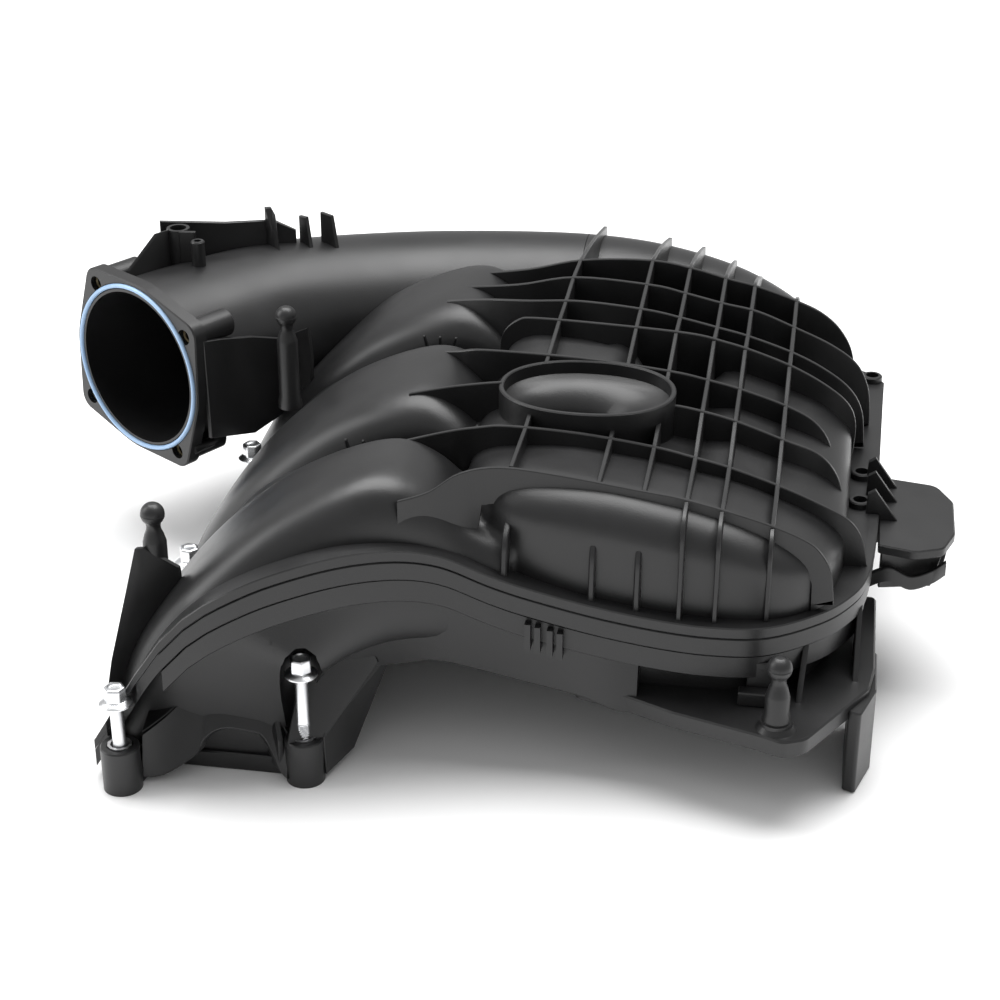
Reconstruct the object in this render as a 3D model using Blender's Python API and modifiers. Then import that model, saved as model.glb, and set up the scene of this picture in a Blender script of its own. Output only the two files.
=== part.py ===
"""Upper intake manifold of a V6 engine: a moulded nylon plenum with three humped double runners, an inlet
duct with a throttle flange, press-in seals, cover studs and captive bolts.

Units are metres, +Z is up. The origin is on the underside of the port flange, between the two ports of the
middle runner pair. +X runs from the ports to the plenum's closed end, +Y from the front runner to the duct.
"""

import math

import bmesh
import bpy
import numpy as np
from mathutils import Matrix, Vector

MM = 0.001

# Overall layout
RUNNER_PITCH = 103 * MM
RUNNER_NAMES = ("front", "middle", "rear")
RUNNER_Y = (-RUNNER_PITCH, 0.0, RUNNER_PITCH)
WALL = 3.0 * MM
JOINT_GAP = 0.3 * MM
BELOW_FLANGE = 6 * MM

# Port flange
FLANGE_THICKNESS = 8 * MM
PORT_LENGTH_X = 28 * MM
PORT_WIDTH_Y = 48 * MM
PORT_SPACING_X = 46 * MM
PORT_CORNER = 10 * MM
SEAL_WIDTH = 3.2 * MM
SEAL_HEIGHT = 4.0 * MM
GROOVE_DEPTH = 3.0 * MM
GROOVE_OFFSET = 2.0 * MM

# Bolts that clamp the port flange
BOLT_SHANK_D = 6.0 * MM
BOLT_LENGTH = 39 * MM
BOLT_FLANGE_D = 13.5 * MM
BOLT_FLANGE_T = 1.6 * MM
BOLT_HEX_AF = 8.0 * MM
BOLT_HEX_H = 6.5 * MM
SLEEVE_OUTER_D = 10.0 * MM
SLEEVE_WALL = 1.2 * MM
BOSS_D = 16 * MM
BOSS_HEIGHT = 20 * MM
ACCESS_D = 17.4 * MM
INNER_ACCESS_TOP = 65 * MM
OUTER_ACCESS_TOP = 130 * MM
BOLT_ROW_LEFT_X = -33 * MM
BOLT_ROW_RIGHT_X = 39 * MM
BOLT_FIRST_LEFT_Y = -155 * MM
BOLT_FIRST_RIGHT_Y = -137 * MM
BOLT_LIFTS = (18.5, 27, 29, 19, 28.5, 22, 20)

# Runner humps: an outer crest line and an inner floor line, joined by rounded sections
CREST_CENTRE = (62 * MM, 10 * MM)
CREST_REACH = 112 * MM
CREST_RISE = 117 * MM
CREST_POWER = 1.5
HUMP_WIDTH = 84 * MM
HUMP_FOOT_WIDTH = 62 * MM
HUMP_POWER = 4.2
FRONT_SHIFTS = (34 * MM, 0.0, 0.0)
DIVIDER_THICKNESS = 2.6 * MM
DIVIDER_SIDE_GAP = 2.0 * MM

# Plenum
PLENUM_CENTRE = (172 * MM, 3 * MM)
PLENUM_HALF = (79 * MM, 112 * MM)
PLENUM_POWER = 4.5
PLENUM_FLOOR_Z = 34 * MM
PLENUM_TOP_Z = 118 * MM
ROOF_RISE_Y = 0.086
ROOF_FALL = 0.0019 / MM
ROOF_FALL_START = 127 * MM
RIB_HEIGHT = 7 * MM
RIB_THICKNESS = 2.2 * MM
DOME_REAR_Y = 62 * MM
VALLEY_TOP_Z = 96 * MM

# Weld rim between the two shells: height of the weld plane along X
RIM_WIDTH = 9 * MM
RIM_ABOVE = 5 * MM
RIM_BELOW = 8 * MM
RIM_LINE = (
    (-60, -8), (-45, 14), (-33, 34), (-18, 58), (-2, 76), (16, 88), (36, 96), (56, 100), (76, 99),
    (92, 94), (112, 85), (135, 79), (160, 74), (185, 71), (215, 70), (300, 70),
)

# Inlet duct: centre line points and outer radius
DUCT_PATH = (
    (-90, 57, 91, 41.7), (-70, 88, 90, 41.7), (-36, 130, 89, 41), (14, 164, 84, 41.5),
    (66, 185, 81, 41), (114, 196, 79, 40), (150, 194, 78, 38), (184, 182, 76, 35), (210, 156, 74, 31), (219, 122, 72, 27), (221, 98, 72, 24),
)
DUCT_JOINT_X = 110 * MM
THROTTLE_BORE_R = 38.0 * MM
THROTTLE_AXIS_ANGLE = math.radians(31.5)
THROTTLE_PLATE_T = 9 * MM
THROTTLE_HOLE_SPACING = 63 * MM
THROTTLE_ROLL = math.radians(-10)
THROTTLE_SEAL_R = 39.5 * MM
THROTTLE_SEAL_T = 2.4 * MM
INSERT_D = 7.0 * MM
INSERT_BORE_D = 5.0 * MM

# Oval dish on the plenum roof
DISH_CENTRE = (138 * MM, -22 * MM)
DISH_HALF = (36 * MM, 27 * MM)
DISH_RING_HEIGHT = 9 * MM
DISH_DEPTH = 34 * MM

# Ball studs for the engine cover
STUD_BALL_D = 10 * MM
STUD_BODY_D = 9.6 * MM
STUD_NECK_D = 6.2 * MM

SIDES_ROUND = 16
parts = None
cutters = None


# ---------------------------------------------------------------- helpers

def clear_scene():
    for obj in list(bpy.data.objects):
        bpy.data.objects.remove(obj, do_unlink=True)


def new_collection(name):
    made = bpy.data.collections.new(name)
    bpy.context.scene.collection.children.link(made)
    return made


def material(name, colour, roughness, metallic=0.0):
    made = bpy.data.materials.new(name)
    made.use_nodes = True
    shader = made.node_tree.nodes["Principled BSDF"]
    shader.inputs["Base Color"].default_value = (*colour, 1.0)
    shader.inputs["Roughness"].default_value = roughness
    shader.inputs["Metallic"].default_value = metallic
    return made


def add_object(name, bm, mat=None, cutter=False):
    mesh = bpy.data.meshes.new(name)
    bmesh.ops.recalc_face_normals(bm, faces=bm.faces)
    bm.to_mesh(mesh)
    bm.free()
    obj = bpy.data.objects.new(name, mesh)
    if cutter:
        obj.hide_render = True
        obj.display_type = "WIRE"
        cutters.objects.link(obj)
    else:
        parts.objects.link(obj)
    if mat:
        mesh.materials.append(mat)
    return obj


def boolean(obj, other, operation):
    """Boolean of two closed meshes; the skins here meet at many near-flat angles, which this solver keeps closed."""
    modifier = obj.modifiers.new(f"{operation.lower()} {other.name}", "BOOLEAN")
    modifier.operation = operation
    modifier.object = other
    modifier.solver = "MANIFOLD"


def combine(obj, label, forms, operation="UNION"):
    """Add each closed form to the object, or take it away."""
    for number, bm in enumerate(forms, 1):
        other = add_object(f"{obj.name}_{label}_{number}", bm, cutter=True)
        boolean(obj, other, operation)


def form(add, *values, **named):
    """One closed form in a mesh of its own."""
    bm = bmesh.new()
    add(bm, *values, **named)
    return bm


def smooth(obj, angle=35):
    obj.data.shade_smooth()
    obj.data.set_sharp_from_angle(angle=math.radians(angle))


def add_loft(bm, rings):
    """Join rings with the same number of points into one closed skin with fan caps."""
    rows = [[bm.verts.new(p) for p in ring] for ring in rings]
    count = len(rows[0])
    for lower, upper in zip(rows, rows[1:]):
        for i in range(count):
            j = (i + 1) % count
            bm.faces.new((lower[i], lower[j], upper[j], upper[i]))
    for ring in (rows[0], rows[-1]):
        centre = bm.verts.new(sum((v.co for v in ring), Vector()) / count)
        for i in range(count):
            bm.faces.new((ring[i], ring[(i + 1) % count], centre))


def add_prism(bm, outline, low, high):
    add_loft(bm, [[Vector((x, y, z)) for x, y in outline] for z in (low, high)])


def add_box(bm, low, high):
    size = [b - a for a, b in zip(low, high)]
    centre = [(a + b) / 2 for a, b in zip(low, high)]
    place = Matrix.Translation(centre) @ Matrix.Diagonal((*size, 1.0))
    bmesh.ops.create_cube(bm, size=1.0, matrix=place)


def add_cylinder(bm, base, radius, height, axis=(0, 0, 1), top_radius=None, sides=SIDES_ROUND):
    turn = Vector((0, 0, 1)).rotation_difference(Vector(axis)).to_matrix().to_4x4()
    place = Matrix.Translation(base) @ turn @ Matrix.Translation((0, 0, height / 2))
    bmesh.ops.create_cone(
        bm, cap_ends=True, segments=sides, radius1=radius,
        radius2=radius if top_radius is None else top_radius, depth=height, matrix=place,
    )


def superellipse(centre, half, power, count):
    outline = []
    for i in range(count):
        angle = 2 * math.pi * (i + 0.5) / count
        c = math.cos(angle)
        s = math.sin(angle)
        x = centre[0] + half[0] * math.copysign(abs(c) ** (2 / power), c)
        y = centre[1] + half[1] * math.copysign(abs(s) ** (2 / power), s)
        outline.append((x, y))
    return outline


def rounded_rectangle(centre, half, radius, steps=4):
    outline = []
    for quarter in range(4):
        sx = (1, -1, -1, 1)[quarter]
        sy = (1, 1, -1, -1)[quarter]
        for i in range(steps + 1):
            angle = math.pi / 2 * (quarter + i / steps)
            outline.append((
                centre[0] + sx * (half[0] - radius) + radius * math.cos(angle),
                centre[1] + sy * (half[1] - radius) + radius * math.sin(angle),
            ))
    return outline


def hull(points):
    """Convex outline round a set of flat points, anticlockwise."""
    points = sorted(set((round(x, 7), round(y, 7)) for x, y in points))
    halves = []
    for order in (points, points[::-1]):
        chain = []
        for p in order:
            while len(chain) > 1:
                (ax, ay), (bx, by) = chain[-2:]
                if (bx - ax) * (p[1] - ay) - (by - ay) * (p[0] - ax) > 0:
                    break
                chain.pop()
            chain.append(p)
        halves.append(chain[:-1])
    return halves[0] + halves[1]


def circle(centre, radius, count=SIDES_ROUND):
    return [
        (centre[0] + radius * math.cos(2 * math.pi * i / count),
         centre[1] + radius * math.sin(2 * math.pi * i / count))
        for i in range(count)
    ]


# ---------------------------------------------------------------- shape rules

def rim_z(x):
    """Height of the weld plane at x."""
    xs = [p[0] * MM for p in RIM_LINE]
    zs = [p[1] * MM for p in RIM_LINE]
    return float(np.interp(x, xs, zs))


def roof_z(x, y):
    """Height of the plenum's roof skin: it rises to the rear and falls towards the closed end."""
    past = max(0.0, x - ROOF_FALL_START)
    return PLENUM_TOP_Z + ROOF_RISE_Y * (y + 80 * MM) - ROOF_FALL * past * past


def crest_point(share):
    """Point (x, z) on the outer line of the humps: share 0 at the port flange, 1 at the top of the hump."""
    angle = math.pi / 2 * share
    x = CREST_CENTRE[0] - CREST_REACH * math.cos(angle) ** (2 / CREST_POWER)
    z = CREST_CENTRE[1] + CREST_RISE * math.sin(angle) ** (2 / CREST_POWER)
    return x, z


def hump_stations():
    """Pairs of outer and inner points (x, z) from the ports over the hump and down into the plenum."""
    stations = [((-50 * MM, 0.0), (47 * MM, 0.0))]
    inner = ((45, 18), (44, 32), (47, 44), (54, 51), (64, 54), (76, 54))
    shares = (0.02, 0.2, 0.36, 0.52, 0.72, 1.0)
    for share, (x, z) in zip(shares, inner):
        stations.append((crest_point(share), (x * MM, z * MM)))
    stations.append(((82 * MM, 122 * MM), (90 * MM, 52 * MM)))
    stations.append(((100 * MM, 106 * MM), (104 * MM, 50 * MM)))
    stations.append(((118 * MM, 98 * MM), (120 * MM, 50 * MM)))
    return stations


def hump_frames(centre_y, front_shift):
    """Middle, direction from floor to crest, half height and half width at each station of one hump."""
    frames = []
    for number, (outer, inner) in enumerate(hump_stations()):
        top = Vector((outer[0], 0, outer[1]))
        bottom = Vector((inner[0], 0, inner[1]))
        middle = (top + bottom) / 2
        narrow = front_shift * min(1.0, max(0.0, middle.x - 20 * MM) / (80 * MM))
        spread = min(1.0, (number / 4) ** 1.5)
        width = HUMP_FOOT_WIDTH + (HUMP_WIDTH - HUMP_FOOT_WIDTH) * spread - narrow
        middle.y = centre_y + narrow / 2
        frames.append((middle, (top - bottom).normalized(), (top - bottom).length / 2, width / 2))
    return frames


def add_hump(bm, centre_y, front_shift, wall, count=16):
    """One double runner as a closed tube, shrunk by wall on all sides."""
    rings = []
    frames = hump_frames(centre_y, front_shift)
    for number, (middle, along, half, width) in enumerate(frames):
        power = HUMP_POWER if number else 6.0
        if number == 0:
            middle.z += FLANGE_THICKNESS if wall else -BELOW_FLANGE
        elif number == len(frames) - 1:
            middle.x += 2 * wall
        flat = superellipse((0, 0), (half - wall, width - wall), power, count)
        rings.append([middle + along * a + Vector((0, b, 0)) for a, b in flat])
    add_loft(bm, rings)


def add_plenum(bm, wall, count=28):
    """Dome over a flat floor as one closed body, shrunk by wall."""
    centre = PLENUM_CENTRE
    levels = ((0, 0.0), (0, 0.70), (4, 0.88), (11, 0.97), (26, 1.0), (50, 1.0))
    rings = []
    floor = PLENUM_FLOOR_Z + wall
    low_half = [h - wall - 6 * MM for h in PLENUM_HALF]
    low = superellipse(centre, low_half, PLENUM_POWER, count)
    rings.append([Vector((x, y, floor)) for x, y in low])
    for inset, share in levels:
        half = [h - wall - inset * MM for h in PLENUM_HALF]
        ring = []
        for x, y in superellipse(centre, half, PLENUM_POWER, count):
            top = roof_z(x, y) - wall
            behind = max(0.0, y - DOME_REAR_Y) / (30 * MM)
            top = top + (VALLEY_TOP_Z - wall - top) * min(1.0, behind)
            base = rim_z(x)
            ring.append(Vector((x, y, base + (top - base) * share)))
        rings.append(ring)
    add_loft(bm, rings)


def duct_frames():
    """Centre, radius and direction at each ring of the inlet duct."""
    points = [Vector(p[:3]) * MM for p in DUCT_PATH]
    radii = [p[3] * MM for p in DUCT_PATH]
    frames = []
    for i, centre in enumerate(points):
        ahead = points[min(i + 1, len(points) - 1)]
        behind = points[max(i - 1, 0)]
        frames.append((centre, radii[i], (ahead - behind).normalized()))
    start = Vector((math.sin(THROTTLE_AXIS_ANGLE), math.cos(THROTTLE_AXIS_ANGLE), 0))
    frames[0] = (frames[0][0], frames[0][1], start)
    return frames


def add_duct(bm, wall, count=20, first=0.0):
    rings = []
    for number, (centre, radius, ahead) in enumerate(duct_frames()):
        side = ahead.cross(Vector((0, 0, 1))).normalized()
        up = side.cross(ahead).normalized()
        if number == 0:
            centre = centre + ahead * (first if wall else 2 * MM)
        elif number == len(DUCT_PATH) - 1:
            centre = centre + ahead * max(0.0, 3 * wall)
        ring = [
            centre + (side * math.cos(t) + up * math.sin(t)) * (radius - wall)
            for t in (2 * math.pi * i / count for i in range(count))
        ]
        rings.append(ring)
    add_loft(bm, rings)


def rim_span(x):
    """Front and rear edge (y) of the weld rim at x."""
    front = ((-60, -152), (5, -152), (28, -146), (50, -138), (80, -126), (108, -115), (130, -113),
             (160, -115), (200, -116), (222, -110), (242, -96), (254, -80), (262, -60), (264, -30))
    rear = ((-60, 151), (60, 151), (110, 151), (200, 151), (262, 151), (264, 140))
    f = float(np.interp(x, [p[0] * MM for p in front], [p[1] * MM for p in front]))
    r = float(np.interp(x, [p[0] * MM for p in rear], [p[1] * MM for p in rear]))
    return f, r


def add_rim(bm):
    """The weld rim and the web between the humps, as one slab that follows the weld plane."""
    xs = [-52, -45, -33, -18, -2, 16, 36, 56, 76, 92, 112, 135, 160, 185, 215, 235, 250, 258, 263]
    rings = []
    for x in (x * MM for x in xs):
        front, rear = rim_span(x)
        low = rim_z(x) - RIM_BELOW
        high = rim_z(x) + RIM_ABOVE
        rings.append([Vector((x, front, low)), Vector((x, rear, low)),
                      Vector((x, rear, high)), Vector((x, front, high))])
    add_loft(bm, rings)


def add_split(bm, above):
    """Everything above, or below, the weld plane, less half the joint gap."""
    shift = -JOINT_GAP / 2 if above else JOINT_GAP / 2
    far = 260 * MM if above else -60 * MM
    rings = []
    xs = [-200 * MM, -60 * MM] + [p[0] * MM for p in RIM_LINE[1:]] + [400 * MM]
    for x in xs:
        z = rim_z(x) + shift
        rings.append([Vector((x, -260 * MM, z)), Vector((x, 330 * MM, z)),
                      Vector((x, 330 * MM, far)), Vector((x, -260 * MM, far))])
    add_loft(bm, rings)


# ---------------------------------------------------------------- places shared by several pieces

def bolt_places():
    """(name, x, y, lift) of the seven bolts: four on the outer row and three on the inner row."""
    places = []
    for i in range(4):
        places.append((f"outer_{i + 1}", BOLT_ROW_LEFT_X, BOLT_FIRST_LEFT_Y + i * RUNNER_PITCH))
    for i in range(3):
        places.append((f"inner_{i + 1}", BOLT_ROW_RIGHT_X, BOLT_FIRST_RIGHT_Y + i * RUNNER_PITCH))
    return [(name, x, y, lift * MM) for (name, x, y), lift in zip(places, BOLT_LIFTS)]


def port_places():
    places = []
    for name, y in zip(RUNNER_NAMES, RUNNER_Y):
        for side, x in (("outer", -PORT_SPACING_X / 2), ("inner", PORT_SPACING_X / 2)):
            places.append((f"{name}_{side}", x, y))
    return places


def port_outline(x, y, grow):
    half = (PORT_LENGTH_X / 2 + grow, PORT_WIDTH_Y / 2 + grow)
    return rounded_rectangle((x, y), half, PORT_CORNER + grow, 3)


def throttle_frame():
    """Face centre, outward normal and the two directions in the throttle face."""
    centre = Vector(DUCT_PATH[0][:3]) * MM
    outward = Vector((-math.sin(THROTTLE_AXIS_ANGLE), -math.cos(THROTTLE_AXIS_ANGLE), 0))
    side = Vector((math.cos(THROTTLE_AXIS_ANGLE), -math.sin(THROTTLE_AXIS_ANGLE), 0))
    up = Vector((0, 0, 1))
    return centre, outward, side, up


def throttle_holes():
    half = THROTTLE_HOLE_SPACING / 2
    holes = []
    for a, b in ((-half, half), (half, half), (half, -half), (-half, -half)):
        holes.append((
            a * math.cos(THROTTLE_ROLL) - b * math.sin(THROTTLE_ROLL),
            a * math.sin(THROTTLE_ROLL) + b * math.cos(THROTTLE_ROLL),
        ))
    return holes


STUD_PLACES = (
    ("front_left", Vector((-27 * MM, -111 * MM, 103 * MM)), 32 * MM, 50 * MM),
    ("front_right", Vector((228 * MM, -131 * MM, 68 * MM)), 25 * MM, 36 * MM),
    ("rear_left", Vector((-13 * MM, 51.5 * MM, 125 * MM)), 46 * MM, 60 * MM),
)


# ---------------------------------------------------------------- shells

def rib_tops(x, y):
    """Height of the roof ribs' top edge, which drops to the weld rim at the closed end."""
    top = roof_z(x, y) + RIB_HEIGHT
    past = max(0.0, (x - 222 * MM) / (38 * MM))
    if past >= 1:
        return rim_z(x) + 6 * MM
    return rim_z(x) + 6 * MM + (top - rim_z(x) - 6 * MM) * math.sqrt(1 - past ** 2.4)


CROSS_RIBS = (
    ((70, -121), (110, -97), (150, -95), (246, -95)),
    ((60, -78), (84, -60), (150, -55), (258, -55)),
    ((56, -28), (90, -24), (150, -24), (254, -22)),
    ((56, 25), (90, 10), (150, 6), (250, 6)),
    ((92, 42), (150, 40), (252, 38)),
    ((50, 85), (90, 66), (150, 58), (260, 58)),
    ((50, 101), (90, 92), (150, 84), (262, 84)),
    ((56, 123), (90, 116), (150, 111), (258, 111)),
)
LONG_RIB_X = (109 * MM, 147 * MM, 166 * MM, 184 * MM, 200 * MM, 221 * MM)


def add_cross_rib(bm, route):
    """A rib across the roof along +X, from a hump to the closed end."""
    xs = np.linspace(route[0][0], route[-1][0], 9) * MM
    rings = []
    for x in xs:
        y = float(np.interp(x, [p[0] * MM for p in route], [p[1] * MM for p in route]))
        low = rim_z(x) + 1 * MM
        if x < 100 * MM:
            start = min(1.0, (x - route[0][0] * MM) / (24 * MM))
            high = 126 * MM + (rib_tops(100 * MM, y) - 126 * MM) * start
            low = 92 * MM
        else:
            high = rib_tops(x, y)
        half = RIB_THICKNESS / 2
        rings.append([Vector((x, y - half, low)), Vector((x, y + half, low)),
                      Vector((x, y + half, high)), Vector((x, y - half, high))])
    add_loft(bm, rings)


def add_long_rib(bm, x):
    """A rib along +Y over the roof, down the front wall to the rim and over the duct at the rear."""
    front = -109 * MM
    rear = 205 * MM - max(0.0, x - 150 * MM) * 0.55
    ys = [front, front + 1.5 * MM, front + 8 * MM] + list(np.linspace(front + 20 * MM, rear, 5))
    rings = []
    for y in ys:
        low = rim_z(x) + 1 * MM
        if y < front + 1 * MM:
            high = rim_z(x) + 22 * MM
        elif y < front + 6 * MM:
            high = roof_z(x, y) - 8 * MM
        else:
            high = rib_tops(x, y)
        fade = max(0.0, y - 110 * MM) / max(rear - 110 * MM, MM)
        high = high - (high - 118 * MM) * min(1.0, fade)
        half = RIB_THICKNESS / 2
        rings.append([Vector((x + half, y, low)), Vector((x - half, y, low)),
                      Vector((x - half, y, high)), Vector((x + half, y, high))])
    add_loft(bm, rings)


def dish_outline(grow, count=20):
    half = (DISH_HALF[0] + grow, DISH_HALF[1] + grow)
    return superellipse(DISH_CENTRE, half, 2.2, count)


def add_dish(bm, grow, drop):
    """The funnel under the dish ring, grown by a wall for the hollow's side of it."""
    top = roof_z(*DISH_CENTRE) + DISH_RING_HEIGHT + 6 * MM - drop
    levels = ((0, 0), (0, 15), (-7, 20), (-15, 30), (-18, 40), (-19.5, 15 + DISH_DEPTH / MM))
    rings = []
    for inset, depth in levels:
        z = top - depth * MM - (grow if depth > 15 else 0)
        rings.append([Vector((x, y, z)) for x, y in dish_outline(grow + inset * MM)])
    add_loft(bm, rings)


def outer_forms():
    """The closed outer forms of the shells: humps, plenum dome, weld rim and stud posts."""
    forms = [form(add_hump, y, shift, 0.0) for y, shift in zip(RUNNER_Y, FRONT_SHIFTS)]
    forms.append(form(add_rim))
    for name, ball, height, foot in STUD_PLACES:
        top = ball.z - height - JOINT_GAP
        forms.append(form(add_cylinder, (ball.x, ball.y, foot), STUD_BODY_D / 2 + 2 * MM, top - foot))
    return forms


def make_hollow(duct_keep):
    """The air space inside the shells, as a cutter."""
    obj = add_object("cut_air_space", form(add_plenum, WALL), cutter=True)
    humps = [form(add_hump, y, shift, WALL) for y, shift in zip(RUNNER_Y, FRONT_SHIFTS)]
    combine(obj, "runner", humps)
    pockets = [form(add_dish, WALL, 0.0)]
    radius = ACCESS_D / 2 + WALL * 0.8
    for name, x, y, lift in bolt_places()[4:]:
        pockets.append(form(add_cylinder, (x, y, -20 * MM), radius, INNER_ACCESS_TOP + WALL + 20 * MM))
    combine(obj, "backing", pockets, "DIFFERENCE")
    boolean(obj, duct_keep, "DIFFERENCE")
    combine(obj, "duct", [form(add_duct, WALL + 0.7 * MM, first=-20 * MM)])
    return obj


def cut_bolt_holes(obj):
    """Take out the sleeve holes, and the room above each boss for the bolt's head."""
    cuts = []
    for name, x, y, lift in bolt_places():
        top = INNER_ACCESS_TOP if name.startswith("inner") else OUTER_ACCESS_TOP
        cuts.append(form(add_cylinder, (x, y, -20 * MM), SLEEVE_OUTER_D / 2 + JOINT_GAP,
                         BOSS_HEIGHT + 24 * MM))
        cuts.append(form(add_cylinder, (x, y, BOSS_HEIGHT), ACCESS_D / 2, top - BOSS_HEIGHT))
    combine(obj, "bolt_hole", cuts, "DIFFERENCE")


def duct_part(name, grow, before):
    """The duct's outer form on one side of its joint to the shells, grown by a gap."""
    obj = add_object(name, form(add_duct, -grow), cutter=True)
    middle = DUCT_JOINT_X
    if before:
        box = form(add_box, (middle + JOINT_GAP / 2 - grow, -300 * MM, -10 * MM), (500 * MM, 400 * MM, 250 * MM))
    else:
        box = form(add_box, (-300 * MM, -20 * MM, -10 * MM), (middle + JOINT_GAP / 2, 300 * MM, 250 * MM))
    combine(obj, "side", [box], "DIFFERENCE")
    return obj


def make_upper_shell(mat, hollow, duct_end, duct_room):
    obj = add_object("upper_shell", form(add_plenum, 0.0), mat)
    forms = outer_forms()
    forms += [form(add_cross_rib, route) for route in CROSS_RIBS]
    forms += [form(add_long_rib, x) for x in LONG_RIB_X]
    forms.append(form(add_prism, dish_outline(2 * MM), 95 * MM, roof_z(*DISH_CENTRE) + DISH_RING_HEIGHT))
    combine(obj, "form", forms)
    boolean(obj, duct_end, "UNION")
    boolean(obj, duct_room, "DIFFERENCE")
    combine(obj, "below", [form(add_split, False)], "DIFFERENCE")
    boolean(obj, hollow, "DIFFERENCE")
    combine(obj, "dish", [form(add_dish, 0.0, 0.0)], "DIFFERENCE")
    cut_bolt_holes(obj)
    smooth(obj)


def flange_outline(y):
    """Port flange under one runner: the port frame joined to its two bolt bosses."""
    points = []
    for px in (-42 * MM, 43 * MM):
        for py in (-36 * MM, 36 * MM):
            points += circle((px, y + py), 5 * MM, 12)
    return hull(points)


def add_boss(bm, x, y):
    add_cylinder(bm, (x, y, -BELOW_FLANGE * 0.7), BOSS_D / 2, BOSS_HEIGHT + BELOW_FLANGE * 0.7)


def lower_plate_forms():
    """Corner plate under the closed end with its foot, and a second foot behind it."""
    plate = [(150, -60), (150, -112), (187, -128), (222, -137), (231, -141), (238, -138),
             (262, -96), (266, -80), (266, -20), (150, -20)]
    foot = [(256, -110), (261, -112), (267, -92), (267, -62), (258, -62), (256, -80)]
    rear_foot = [(240, 88), (248, 88), (248, 112), (240, 112)]
    heights = ((plate, PLENUM_FLOOR_Z - 1 * MM, PLENUM_FLOOR_Z + 7 * MM),
               (foot, -BELOW_FLANGE, PLENUM_FLOOR_Z + 4 * MM),
               (rear_foot, -BELOW_FLANGE, PLENUM_FLOOR_Z + 20 * MM))
    forms = []
    for outline, low, high in heights:
        forms.append(form(add_prism, [(x * MM, y * MM) for x, y in outline], low, high))
    return forms


def make_lower_shell(mat, hollow, duct_end, duct_room):
    obj = add_object("lower_shell", form(add_plenum, 0.0), mat)
    forms = outer_forms()
    for y in RUNNER_Y:
        forms.append(form(add_prism, flange_outline(y), -2 * MM, FLANGE_THICKNESS + 2 * MM))
    forms.append(form(add_box, (-38 * MM, -120 * MM, -1 * MM), (38 * MM, 120 * MM, FLANGE_THICKNESS)))
    for name, x, y, lift in bolt_places():
        forms.append(form(add_boss, x, y))
        target = min(RUNNER_Y, key=lambda centre: abs(centre - y))
        reach = (target - y) * 0.75
        outline = hull(circle((x, y), 7 * MM, 12) + circle((x * 0.85, y + reach), 9 * MM, 12))
        forms.append(form(add_prism, outline, -3 * MM, FLANGE_THICKNESS - 1 * MM))
    forms += lower_plate_forms()
    combine(obj, "form", forms)
    boolean(obj, duct_end, "UNION")
    boolean(obj, duct_room, "DIFFERENCE")
    combine(obj, "above", [form(add_split, True)], "DIFFERENCE")
    floor = form(add_box, (-200 * MM, -250 * MM, -60 * MM), (400 * MM, 350 * MM, 0.0))
    combine(obj, "below", [floor], "DIFFERENCE")
    boolean(obj, hollow, "DIFFERENCE")
    ports = []
    grooves = []
    for name, x, y in port_places():
        ports.append(form(add_prism, port_outline(x, y, 0.0), -5 * MM, FLANGE_THICKNESS + 4 * MM))
        grooves.append(form(add_ring_prism, port_outline(x, y, GROOVE_OFFSET),
                            port_outline(x, y, GROOVE_OFFSET + SEAL_WIDTH), -1 * MM, GROOVE_DEPTH))
    combine(obj, "port", ports, "DIFFERENCE")
    combine(obj, "seal_groove", grooves, "DIFFERENCE")
    cut_bolt_holes(obj)
    smooth(obj)


def add_ring_prism(bm, inner, outer, low, high):
    """A closed ring between two outlines with the same number of points."""
    rows = []
    for outline, z in ((inner, low), (outer, low), (outer, high), (inner, high)):
        rows.append([bm.verts.new((x, y, z)) for x, y in outline])
    count = len(inner)
    for k in range(4):
        a = rows[k]
        b = rows[(k + 1) % 4]
        for i in range(count):
            j = (i + 1) % count
            bm.faces.new((a[i], a[j], b[j], b[i]))


def make_duct(mat):
    centre, outward, side, up = throttle_frame()
    into = -outward
    holes = throttle_holes()
    points = []
    for a, b in holes:
        points += circle((a, b), 8 * MM, 16)
    points += circle((0, 0), THROTTLE_BORE_R + 6 * MM, 32)
    plate = hull(points)
    rings = [[centre + side * a + up * b + into * d for a, b in plate] for d in (0.0, THROTTLE_PLATE_T)]
    obj = add_object("inlet_duct", form(add_loft, rings), mat)
    forms = [form(add_duct, 0.0)]
    for a, b in holes:
        base = centre + side * a + up * b + into * 1.5 * MM
        forms.append(form(add_cylinder, base, 6.5 * MM, 26 * MM, axis=into))
    combine(obj, "form", forms + duct_bracket_forms())
    box = form(add_box, (DUCT_JOINT_X - JOINT_GAP / 2, -300 * MM, -10 * MM), (500 * MM, 400 * MM, 250 * MM))
    cuts = [box, form(add_duct, WALL + 0.7 * MM, first=-20 * MM)]
    cuts.append(form(add_tube_ring, centre - into * 1 * MM, into, side, up, THROTTLE_SEAL_R - 0.3 * MM,
                     THROTTLE_SEAL_R + THROTTLE_SEAL_T + 0.3 * MM, 3.6 * MM))
    for a, b in holes:
        base = centre + side * a + up * b - into * 2 * MM
        cuts.append(form(add_cylinder, base, INSERT_D / 2 + JOINT_GAP, 20 * MM, axis=into))
    combine(obj, "cut", cuts, "DIFFERENCE")
    smooth(obj)


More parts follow.
